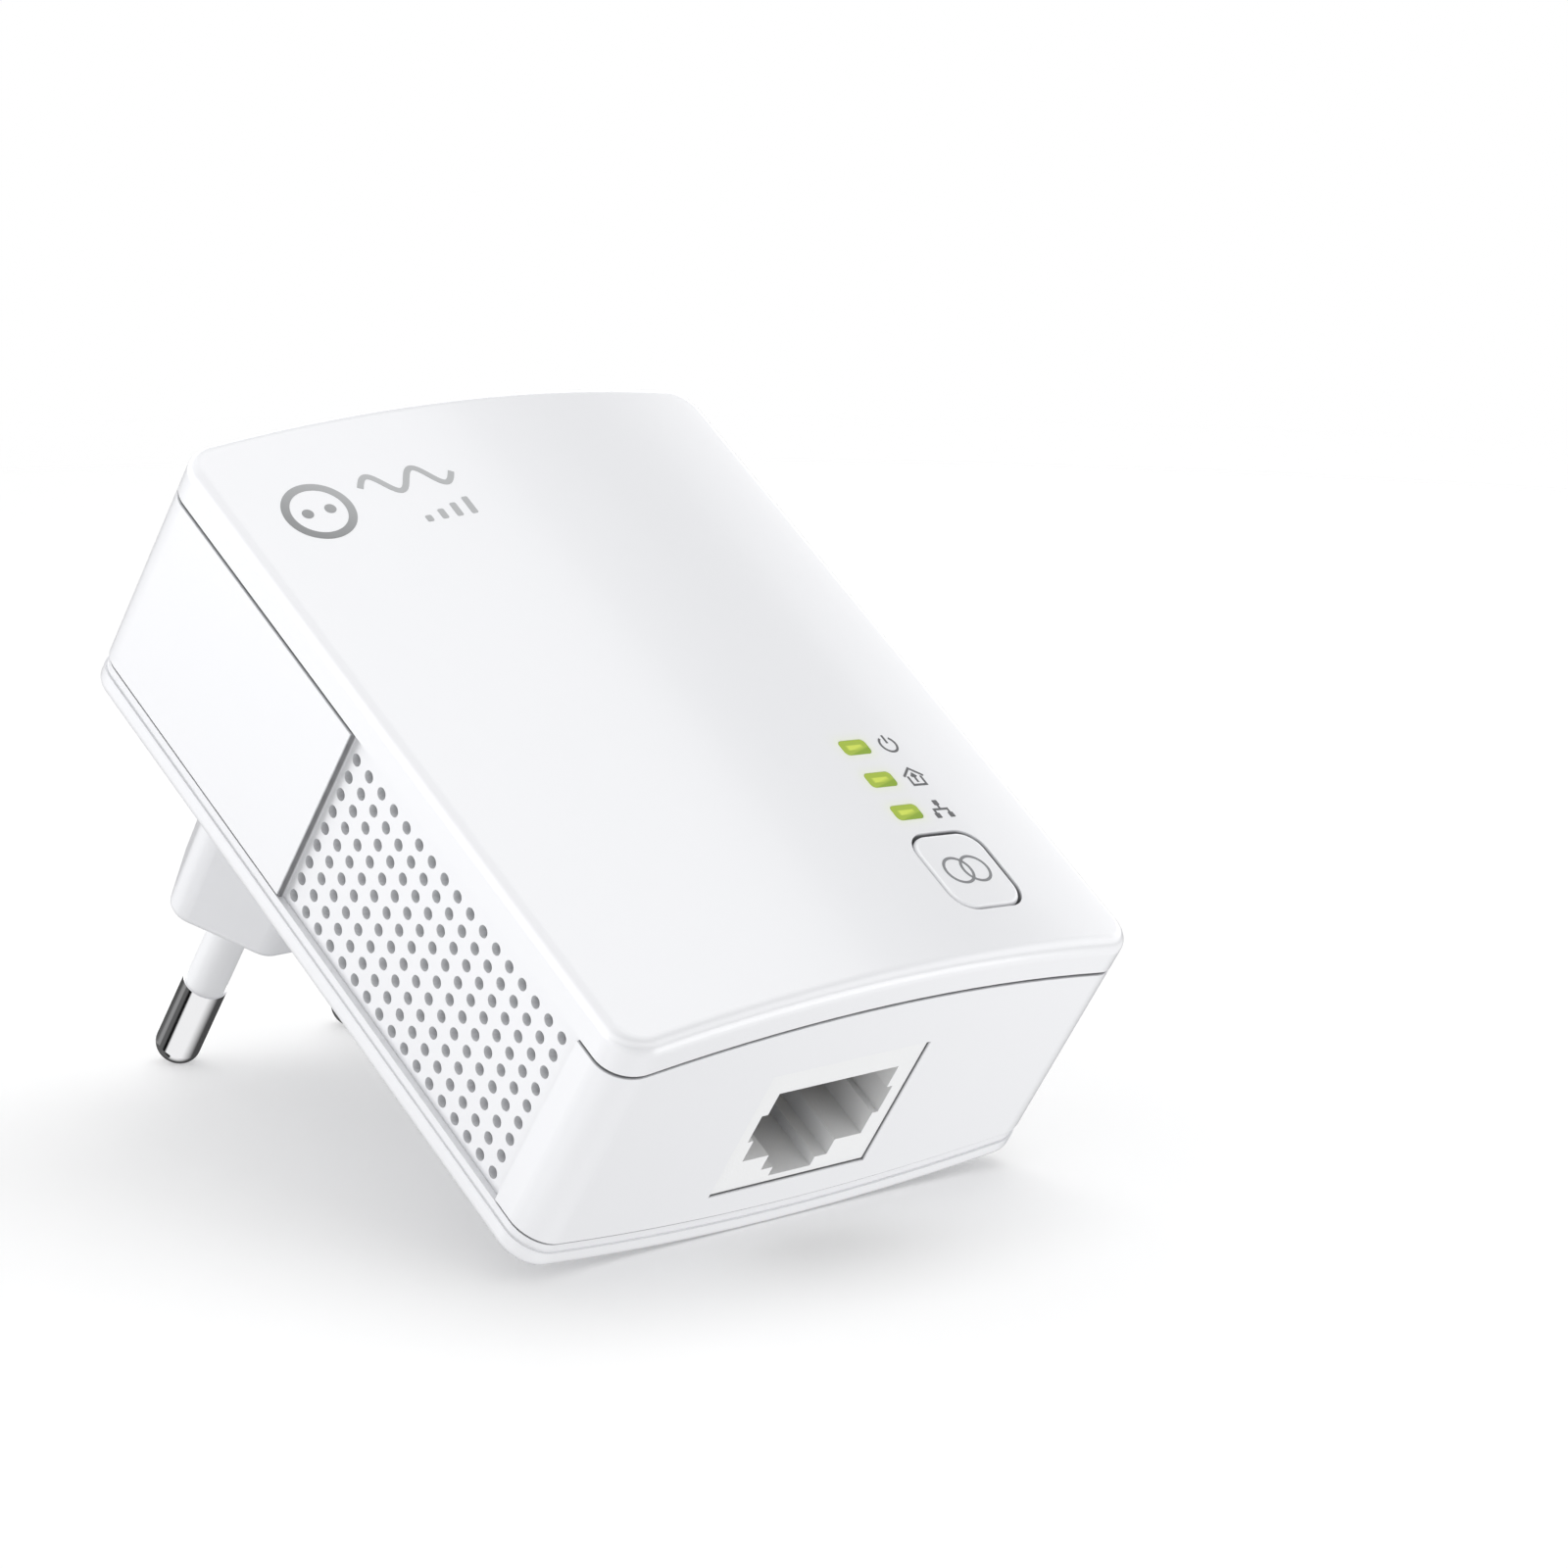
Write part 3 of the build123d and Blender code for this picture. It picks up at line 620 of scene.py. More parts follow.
def led_material(finish):
    """Small lit package with a phosphor window."""
    material, tree, shader, place = start_material("lit_package", Emission_Strength=2.0, IOR=1.5)
    spots = noise(tree, place, 2500.0, 1.0)
    tone = mix_colours(tree, spots, (0.80, 0.84, 0.62, 1.0), (0.92, 0.93, 0.86, 1.0))
    tree.links.new(tone, shader["Base Color"])
    glow = mix_colours(tree, spots, rgba(finish.lamp), (0.62, 0.80, 0.18, 1.0))
    tree.links.new(glow, shader["Emission Color"])
    smear(tree, shader, place, 0.3, 0.1, 900.0)
    return material


def dress(nodes, material):
    """Gives CAD nodes a material in every slot."""
    for name in nodes:
        for slot in NODES[name].material_slots:
            slot.material = material


# ---- Mesh helpers ------------------------------------------------------------------------------------
SHARP_ANGLE = math.radians(35.0)


def finish_piece(name, mesh, material, body, replaces=(), smooth=True):
    """Makes an object at the origin from a mesh in the shared frame and fixes it to a body."""
    if not mesh.materials:
        mesh.materials.append(material)
    if smooth:
        mesh.shade_smooth()
        mesh.set_sharp_from_angle(angle=SHARP_ANGLE)
    piece = bpy.data.objects.new(name, mesh)
    bpy.context.collection.objects.link(piece)
    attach(piece, body)
    if replaces:
        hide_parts(*replaces)
    return piece


def mesh_from(bm, name):
    mesh = bpy.data.meshes.new(name)
    bmesh.ops.remove_doubles(bm, verts=bm.verts, dist=1e-8)
    bmesh.ops.recalc_face_normals(bm, faces=bm.faces)
    bm.to_mesh(mesh)
    bm.free()
    return mesh


class Printer:
    """Draws closed, thin raised shapes that follow the bowed front."""

    def __init__(self, settings, origin=(0.0, 0.0)):
        self.bm = bmesh.new()
        self.bulge = settings.face_bulge
        self.lift = settings.lift
        self.sink = 0.03 * MM
        self.origin = origin

    def vertex(self, x, z, depth):
        x, z = x + self.origin[0], z + self.origin[1]
        return self.bm.verts.new((x, face_y(x, self.bulge) + depth, z))

    def line(self, points, width, closed=False):
        """A line of even width through points, with mitred corners."""
        count = len(points)
        rings = []
        for i, point in enumerate(points):
            before = points[i - 1] if i or closed else None
            after = points[(i + 1) % count] if i < count - 1 or closed else None
            steps = [
                Vector((b[0] - a[0], b[1] - a[1])).normalized()
                for a, b in ((before, point), (point, after))
                if a is not None and b is not None
            ]
            along = sum(steps, Vector((0.0, 0.0))).normalized()
            side = Vector((-along.y, along.x))
            reach = width / 2 / max(0.4, side.dot(Vector((-steps[0].y, steps[0].x))))
            corners = [(point[0] + s * side.x * reach, point[1] + s * side.y * reach) for s in (1, -1)]
            loop = ((0, -self.lift), (1, -self.lift), (1, self.sink), (0, self.sink))
            rings.append([self.vertex(*corners[k], depth) for k, depth in loop])
        pairs = list(zip(rings, rings[1:])) + ([(rings[-1], rings[0])] if closed else [])
        for one, other in pairs:
            for k in range(4):
                self.bm.faces.new((one[k], one[(k + 1) % 4], other[(k + 1) % 4], other[k]))
        if not closed:
            self.bm.faces.new(rings[0])
            self.bm.faces.new(reversed(rings[-1]))

    def patch(self, outline):
        """A filled shape."""
        top = [self.vertex(x, z, -self.lift) for x, z in outline]
        bottom = [self.vertex(x, z, self.sink) for x, z in outline]
        self.bm.faces.new(top)
        self.bm.faces.new(reversed(bottom))
        for i in range(len(outline)):
            j = (i + 1) % len(outline)
            self.bm.faces.new((top[i], bottom[i], bottom[j], top[j]))

    def disc(self, x, z, radius, steps=24):
        self.patch(arc(x, z, radius, 0.0, 360.0, steps)[:-1])

    def ring(self, x, z, radius, width, steps=48):
        self.line(arc(x, z, radius, 0.0, 360.0, steps)[:-1], width, closed=True)


def arc(x, z, radius, start, end, steps):
    """Points along an arc, angles in degrees from +X towards +Z."""
    angles = [math.radians(start + (end - start) * i / steps) for i in range(steps + 1)]
    return [(x + radius * math.cos(a), z + radius * math.sin(a)) for a in angles]


def box_outline(x, z, size_x, size_z, corner, steps=4):
    """Rounded rectangle about a middle."""
    points = []
    for sx, sz, start in ((1, 1, 0), (-1, 1, 90), (-1, -1, 180), (1, -1, 270)):
        middle = (x + sx * (size_x / 2 - corner), z + sz * (size_z / 2 - corner))
        points += arc(*middle, corner, start, start + 90, steps)
    return points


# ---- Geometry Nodes helpers --------------------------------------------------------------------------
GEOMETRY, INTEGER, MATERIAL = "NodeSocketGeometry", "NodeSocketInt", "NodeSocketMaterial"


def rule(name, inputs):
    """Starts a Geometry Nodes tree that ends in Realize Instances and Set Material."""
    tree = bpy.data.node_groups.new(name, "GeometryNodeTree")
    for label, kind, value in [*inputs, ("Material", MATERIAL, None)]:
        socket = tree.interface.new_socket(label, in_out="INPUT", socket_type=kind)
        if value is not None:
            socket.default_value = value
    tree.interface.new_socket("Geometry", in_out="OUTPUT", socket_type=GEOMETRY)
    start = tree.nodes.new("NodeGroupInput").outputs
    end = tree.nodes.new("NodeGroupOutput").inputs

    def finish(geometry):
        real = made(tree, "GeometryNodeRealizeInstances", {"Geometry": geometry})
        painted = put(tree, "GeometryNodeSetMaterial", {"Geometry": real, "Material": start["Material"]})
        tree.links.new(painted.outputs[0], end["Geometry"])
        return tree

    return tree, start, finish


def combine(tree, x=0.0, y=0.0, z=0.0):
    return made(tree, "ShaderNodeCombineXYZ", {0: x, 1: y, 2: z})


def span_of(tree, count, pitch):
    """Length of a row, from its first point to its last."""
    return multiply(tree, subtract(tree, count, 1.0), pitch)


def coil_rule():
    """Turns of wire round the ring of a toroid, whose axis is Z."""
    tree, start, finish = rule(
        "coil_turns",
        [("Turns", INTEGER, 9), ("Ring Radius", FLOAT, 1.0), ("Loop Width", FLOAT, 1.0),
         ("Loop Height", FLOAT, 1.0), ("Wire", FLOAT, 0.1), ("Start", FLOAT, 0.0), ("Sweep", FLOAT, 2.0)],
    )
    loop = made(tree, "GeometryNodeCurvePrimitiveQuadrilateral",
               {"Width": start["Loop Width"], "Height": start["Loop Height"]})
    rounded = made(tree, "GeometryNodeFilletCurve",
                  {"Curve": loop, "Count": 3, "Radius": multiply(tree, start["Wire"], 0.9)},
                  mode="POLY")
    profile = made(tree, "GeometryNodeCurvePrimitiveCircle",
                  {"Resolution": 8, "Radius": multiply(tree, start["Wire"], 0.5)})
    wire = made(tree, "GeometryNodeCurveToMesh", {"Curve": rounded, "Profile Curve": profile})
    smooth = made(tree, "GeometryNodeSetShadeSmooth", {"Geometry": wire})
    stood = made(tree, "GeometryNodeTransform", {
        "Geometry": smooth,
        "Translation": combine(tree, start["Ring Radius"]),
        "Rotation": (math.radians(90.0), 0.0, 0.0),
    })
    points = made(tree, "GeometryNodePoints", {"Count": start["Turns"], "Radius": 0.001})
    index = tree.nodes.new("GeometryNodeInputIndex").outputs[0]
    gaps = subtract(tree, start["Turns"], 1.0)
    step = divide(tree, start["Sweep"], gaps)
    angle = add(tree, start["Start"], multiply(tree, index, step))
    placed = made(tree, "GeometryNodeInstanceOnPoints",
                 {"Points": points, "Instance": stood, "Rotation": combine(tree, z=angle)})
    return finish(placed)


def solder_rule():
    """Grid of solder joints: a cone with a rounded tip over each pin."""
    tree, start, finish = rule(
        "solder_joints",
        [("Across", INTEGER, 2), ("Up", INTEGER, 2), ("Pitch Across", FLOAT, 1.0), ("Pitch Up", FLOAT, 1.0),
         ("Width", FLOAT, 1.0), ("Height", FLOAT, 0.5)],
    )
    cone = made(tree, "GeometryNodeMeshCone", {
        "Vertices": 14, "Side Segments": 3,
        "Radius Top": multiply(tree, start["Width"], 0.14),
        "Radius Bottom": multiply(tree, start["Width"], 0.5),
        "Depth": start["Height"],
    })
    position = tree.nodes.new("GeometryNodeInputPosition").outputs[0]
    _, _, z = separate(tree, position)
    share = divide(tree, z, start["Height"])
    hollow = multiply(tree, share, subtract(tree, 1.0, share))
    waist = subtract(tree, 1.0, multiply(tree, hollow, 1.1))
    scale = combine(tree, waist, waist, 1.0)
    pulled = made(tree, "ShaderNodeVectorMath", {0: position, 1: scale}, operation="MULTIPLY")
    shaped = made(tree, "GeometryNodeSetPosition", {"Geometry": cone, "Position": pulled})
    smooth = made(tree, "GeometryNodeSetShadeSmooth", {"Geometry": shaped})
    return finish(instances_on_grid(tree, start, smooth))


def on_points(tree, points, shape):
    return made(tree, "GeometryNodeInstanceOnPoints", {"Points": points, "Instance": shape})


def instances_on_grid(tree, start, shape):
    """Stands a shape on each point of a grid with the tree's counts and pitches."""
    spans = [
        span_of(tree, start[count], start[pitch])
        for count, pitch in (("Across", "Pitch Across"), ("Up", "Pitch Up"))
    ]
    grid = made(tree, "GeometryNodeMeshGrid", {
        "Size X": spans[0], "Size Y": spans[1], "Vertices X": start["Across"], "Vertices Y": start["Up"],
    })
    return on_points(tree, grid, shape)


def lead_rule():
    """Two facing rows of bent leads, either side of a chip's body."""
    tree, start, finish = rule(
        "chip_leads",
        [("Count", INTEGER, 8), ("Pitch", FLOAT, 1.0), ("Body", FLOAT, 5.0), ("Reach", FLOAT, 1.0),
         ("Drop", FLOAT, 0.5), ("Width", FLOAT, 0.3), ("Thickness", FLOAT, 0.15)],
    )
    outer = add(tree, start["Body"], start["Reach"])
    knee = add(tree, start["Body"], multiply(tree, start["Reach"], 0.55))
    bend = made(tree, "GeometryNodeCurveQuadraticBezier", {
        "Resolution": 5,
        "Start": combine(tree, multiply(tree, start["Body"], 0.97), 0.0, start["Drop"]),
        "Middle": combine(tree, knee, 0.0, start["Drop"]),
        "End": combine(tree, knee, 0.0, multiply(tree, start["Thickness"], 0.8)),
    })
    half_thick = multiply(tree, start["Thickness"], 0.5)
    foot = made(tree, "GeometryNodeCurvePrimitiveLine", {
        "Start": combine(tree, subtract(tree, knee, half_thick), 0.0, half_thick),
        "End": combine(tree, outer, 0.0, half_thick),
    })
    profile = made(tree, "GeometryNodeCurvePrimitiveQuadrilateral",
                  {"Width": start["Width"], "Height": start["Thickness"]})
    parts = tree.nodes.new("GeometryNodeJoinGeometry")
    for curve in (bend, foot):
        values = {"Curve": curve, "Profile Curve": profile, "Fill Caps": True}
        tree.links.new(made(tree, "GeometryNodeCurveToMesh", values), parts.inputs[0])
    both = tree.nodes.new("GeometryNodeJoinGeometry")
    values = {"Geometry": parts.outputs[0], "Rotation": (0.0, 0.0, math.pi)}
    tree.links.new(parts.outputs[0], both.inputs[0])
    tree.links.new(made(tree, "GeometryNodeTransform", values), both.inputs[0])
    half = multiply(tree, span_of(tree, start["Count"], start["Pitch"]), -0.5)
    row = made(tree, "GeometryNodeMeshLine", {
        "Count": start["Count"], "Start Location": combine(tree, 0.0, half),
        "Offset": combine(tree, 0.0, start["Pitch"]),
    })
    return finish(on_points(tree, row, both.outputs[0]))


def screw_rule():
    """Domed screw heads with a cross recess, one at each end of a row."""
    tree, start, finish = rule(
        "cross_screws",
        [("Count", INTEGER, 2), ("Spacing", FLOAT, 10.0), ("Head", FLOAT, 3.8), ("Rim", FLOAT, 1.0),
         ("Dome", FLOAT, 0.3), ("Shank", FLOAT, 2.0), ("Length", FLOAT, 5.0)],
    )
    radius = multiply(tree, start["Head"], 0.5)
    head = made(tree, "GeometryNodeMeshCylinder", {
        "Vertices": 32, "Side Segments": 1, "Fill Segments": 4, "Radius": radius, "Depth": start["Rim"],
    })
    position = tree.nodes.new("GeometryNodeInputPosition").outputs[0]
    x, y, z = separate(tree, position)
    square = add(tree, multiply(tree, x, x), multiply(tree, y, y))
    share = divide(tree, square, multiply(tree, radius, radius))
    rise = multiply(tree, subtract(tree, 1.0, share), start["Dome"])
    rise = multiply(tree, rise, greater(tree, z, 0.0))
    domed = made(tree, "GeometryNodeSetPosition", {"Geometry": head, "Offset": combine(tree, z=rise)})
    recess = []
    recess_lift = add(tree, start["Dome"], multiply(tree, start["Rim"], 0.35))
    for turn in (0.0, math.pi / 2):
        bar = made(tree, "GeometryNodeMeshCube", {"Size": combine(
            tree, multiply(tree, start["Head"], 0.52), multiply(tree, start["Head"], 0.13),
            start["Rim"])})
        recess.append(made(tree, "GeometryNodeTransform", {
            "Geometry": bar, "Rotation": (0.0, 0.0, turn),
            "Translation": combine(tree, z=recess_lift),
        }))
    cut = put(tree, "GeometryNodeMeshBoolean", {"Mesh 1": domed}, operation="DIFFERENCE", solver="EXACT")
    for bar in recess:
        tree.links.new(bar, cut.inputs["Mesh 2"])
    lift = multiply(tree, start["Rim"], 0.5)
    values = {"Geometry": cut.outputs[0], "Translation": combine(tree, z=lift)}
    seated = put(tree, "GeometryNodeTransform", values)
    shank = put(tree, "GeometryNodeMeshCylinder", {
        "Vertices": 20, "Radius": multiply(tree, start["Shank"], 0.5), "Depth": start["Length"]})
    sunk = put(tree, "GeometryNodeTransform", {
        "Geometry": shank.outputs[0],
        "Translation": combine(tree, z=multiply(tree, start["Length"], -0.5)),
    })
    whole = tree.nodes.new("GeometryNodeJoinGeometry")
    for part in (seated, sunk):
        tree.links.new(part.outputs[0], whole.inputs[0])
    half = multiply(tree, span_of(tree, start["Count"], start["Spacing"]), -0.5)
    row = made(tree, "GeometryNodeMeshLine", {
        "Count": start["Count"], "Start Location": combine(tree, half),
        "Offset": combine(tree, start["Spacing"]),
    })
    return finish(on_points(tree, row, whole.outputs[0]))


def chip_part_rule():
    """Small chip parts scattered on a board in rows, some left out by a fixed seed."""
    tree, start, finish = rule(
        "small_parts",
        [("Across", INTEGER, 6), ("Up", INTEGER, 6), ("Pitch Across", FLOAT, 2.0), ("Pitch Up", FLOAT, 2.0),
         ("Size", VECTOR, (1.6, 0.8, 0.6)), ("Share", FLOAT, 0.5), ("Seed", INTEGER, 1)],
    )
    size = {"Size": start["Size"], "Vertices X": 5, "Vertices Y": 2, "Vertices Z": 2}
    placed = instances_on_grid(tree, start, made(tree, "GeometryNodeMeshCube", size))
    chosen = put(tree, "FunctionNodeRandomValue", {"Seed": start["Seed"]}, data_type="FLOAT").outputs[1]
    left_out = greater(tree, chosen, start["Share"])
    values = {"Geometry": placed, "Selection": left_out}
    kept = put(tree, "GeometryNodeDeleteGeometry", values, domain="INSTANCE")
    next_seed = add(tree, start["Seed"], 1.0)
    turn = put(tree, "FunctionNodeRandomValue", {"Seed": next_seed}, data_type="FLOAT").outputs[1]
    quarter = combine(tree, z=multiply(tree, greater(tree, turn, 0.5), math.pi / 2))
    turned = put(tree, "GeometryNodeRotateInstances", {"Instances": kept.outputs[0], "Rotation": quarter})
    return finish(turned.outputs[0])


RULES = {
    "coil": once(coil_rule),
    "solder": once(solder_rule),
    "leads": once(lead_rule),
    "screws": once(screw_rule),
    "chip_parts": once(chip_part_rule),
}


def grow(rule_name, values, place):
    """Runs a rule and gives its result as one plain mesh, put in place."""
    tree = RULES[rule_name]()
    holder = bpy.data.objects.new("growing", bpy.data.meshes.new("growing"))
    bpy.context.collection.objects.link(holder)
    modifier = holder.modifiers.new("rule", "NODES")
    modifier.node_group = tree
    for item in tree.interface.items_tree:
        if item.in_out == "INPUT" and item.name in values:
            modifier[item.identifier] = values[item.name]
    graph = bpy.context.evaluated_depsgraph_get()
    mesh = bpy.data.meshes.new_from_object(holder.evaluated_get(graph))
    bpy.data.objects.remove(holder)
    if not mesh.vertices:
        raise RuntimeError(f"{rule_name} made nothing")
    mesh.transform(place)
    return mesh


def merged(meshes, name):
    """Joins plain meshes into one."""
    bm = bmesh.new()
    for mesh in meshes:
        bm.from_mesh(mesh)
    whole = bpy.data.meshes.new(name)
    bm.to_mesh(whole)
    bm.free()
    for material in meshes[0].materials:
        whole.materials.append(material)
    return whole


# Turns that stand a rule's Z on a board: towards the plug, and towards the front
TOWARDS_BACK = Matrix.Rotation(math.radians(-90.0), 4, "X")
TOWARDS_FRONT = Matrix.Rotation(math.radians(90.0), 4, "X")


CORE_HOLE_SHARE = 4.8 / 9.0  # of the choke core's outer size


def at(x, y, z):
    return Matrix.Translation((x, y, z))


def box_middle(name):
    low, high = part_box(name)
    return (low + high) / 2


# ---- Operators ---------------------------------------------------------------------------------------
class AdapterOperator:
    bl_options = {"REGISTER"}

    def execute(self, context):
        self.make(context.scene)
        return {"FINISHED"}


class ADAPTER_OT_shell(AdapterOperator, bpy.types.Operator):
    """Finish the front cover, housing, back cover and button"""

    bl_idname = "adapter.shell"
    bl_label = "Shell"

    def make(self, scene):
        finish = scene.adapter_finish
        dress(("front_cover",), cover_material(finish, scene.adapter_print))
        dress(("main_housing",), housing_material(finish))
        dress(("back_cover", "pair_button"), shell_material("shell_gloss", finish))


class ADAPTER_OT_plug(AdapterOperator, bpy.types.Operator):
    """Finish the plug pins, their sleeves and the contact strips"""

    bl_idname = "adapter.plug"
    bl_label = "Plug"

    def make(self, scene):
        bright = metal("bright_plate", (0.86, 0.86, 0.87), 0.07, amount=0.04, tarnish=0.06, depth=0.0015 * MM)
        dress(("plug_pin_left", "plug_pin_right"), bright)
        sleeve = moulded("sleeve_smooth", (0.80, 0.805, 0.82), 0.36, drift=0.03, waves=900.0,
                         depth=0.004 * MM)
        dress(("pin_sleeve_left", "pin_sleeve_right"), sleeve)
        strip = metal("pressed_strip", slot_colour("contact_brass"), 0.28, tarnish=0.35)
        dress(("contact_strip_left", "contact_strip_right"), strip)


class ADAPTER_OT_jack(AdapterOperator, bpy.types.Operator):
    """Finish the network jack and its contacts"""

    bl_idname = "adapter.jack"
    bl_label = "Jack"

    def make(self, scene):
        dress(("jack_housing",), jack_material())
        gold = metal("gold_plate", slot_colour("contact_gold"), 0.2, stretch=(60.0, 1.0, 60.0), tarnish=0.12)
        dress(("jack_contacts",), gold)


class ADAPTER_OT_lights(AdapterOperator, bpy.types.Operator):
    """Light the three windows and finish their lamps and shield"""

    bl_idname = "adapter.lights"
    bl_label = "Lights"

    def make(self, scene):
        finish = scene.adapter_finish
        dress(LAMPS, lens_material(finish))
        dress(("power_led", "home_led", "network_led"), led_material(finish))
        foam = moulded("foam_matt", slot_colour("foam_black"), 0.75, drift=0.2, pits=4200.0, pitted=0.8,
                       depth=0.05 * MM)
        dress(("light_shield",), foam)


class ADAPTER_OT_signs(AdapterOperator, bpy.types.Operator):
    """Print the emblem, the status signs and the button's sign"""

    bl_idname = "adapter.signs"
    bl_label = "Signs"

    def make(self, scene):
        settings = scene.adapter_print
        self.emblem(settings)
        self.status(settings)
        self.pairing(settings)

    def emblem(self, settings):
        """A socket with two holes, a wave along a line and a row of bars."""
        pen = Printer(settings, settings.emblem)
        pen.ring(0.0, 0.0, 2.75 * MM, 0.72 * MM, 64)
        for side in (-1, 1):
            pen.disc(side * 1.05 * MM, 0.0, 0.5 * MM)
        start, end, steps = 4.7 * MM, 13.6 * MM, 72
        middle, swing = 1.35 * MM, 1.1 * MM
        wave = [
            (start + (end - start) * i / steps, middle + swing * math.sin(4 * math.pi * i / steps))
            for i in range(steps + 1)
        ]
        pen.line(wave, 0.55 * MM)
        first, foot, pitch, width = 8.6 * MM, -3.6 * MM, 1.45 * MM, 0.62 * MM
        for bar in range(4):
            tall = (0.7 + 0.42 * bar) * MM
            pen.patch(box_outline(first + bar * pitch, foot + tall / 2, width, tall, 0.16 * MM))
        self.printed("emblem_print", pen, ink_material("emblem_ink", settings.emblem_ink, fade=0.55))

    def status(self, settings):
        """Power, home and network signs beside the three windows."""
        middle, pitch, _, _ = lamp_layout()
        size, stroke = settings.sign_size, settings.stroke
        pen = Printer(settings, (settings.sign_across, middle.z + pitch))
        reach = size * 0.40
        pen.line(arc(0.0, 0.0, reach, 125.0, 415.0, 40), stroke)
        pen.line([(0.0, reach * 1.25), (0.0, reach * 0.15)], stroke)

        pen.origin = (settings.sign_across, middle.z)
        half, eaves = size * 0.52, size * 0.02
        pen.line([(-half, eaves), (0.0, eaves + half * 0.82), (half, eaves)], stroke)
        wall, base, top = half * 0.66, -size * 0.45, eaves - 0.02 * MM
        pen.line([(-wall, top), (-wall, base), (wall, base), (wall, top)], stroke)
        pen.line([(0.0, eaves + half * 0.18), (0.0, base + size * 0.14)], stroke)
        barb, low, tip = half * 0.26, eaves - half * 0.06, eaves + half * 0.24
        pen.line([(-barb, low), (0.0, tip), (barb, low)], stroke)

        pen.origin = (settings.sign_across, middle.z - pitch)
        pad, off, head, foot = size * 0.27, size * 0.36, size * 0.33, -size * 0.34
        for x, z in ((0.0, head), (-off, foot), (off, foot)):
            pen.patch(box_outline(x, z, pad, pad, pad * 0.12))
        shoulder, ankle = -size * 0.02, -size * 0.3
        pen.line([(0.0, head), (0.0, shoulder)], stroke)
        pen.line([(-off, ankle), (-off, shoulder), (off, shoulder), (off, ankle)], stroke)
        self.printed("status_print", pen, ink_material("sign_ink", settings.ink))

    def pairing(self, settings):
        """Two linked rings on the button, which move with it."""
        middle = box_middle("pair_button")
        pen = Printer(settings, (middle.x, middle.z))
        for side in (-1, 1):
            pen.ring(side * 0.95 * MM, 0.0, 1.35 * MM, 0.26 * MM)
        self.printed("pairing_print", pen, ink_material("pairing_ink", (0.20, 0.205, 0.215)), "button")

    def printed(self, name, pen, ink, body="adapter"):
        finish_piece(name, mesh_from(pen.bm, name), ink, body, smooth=False)


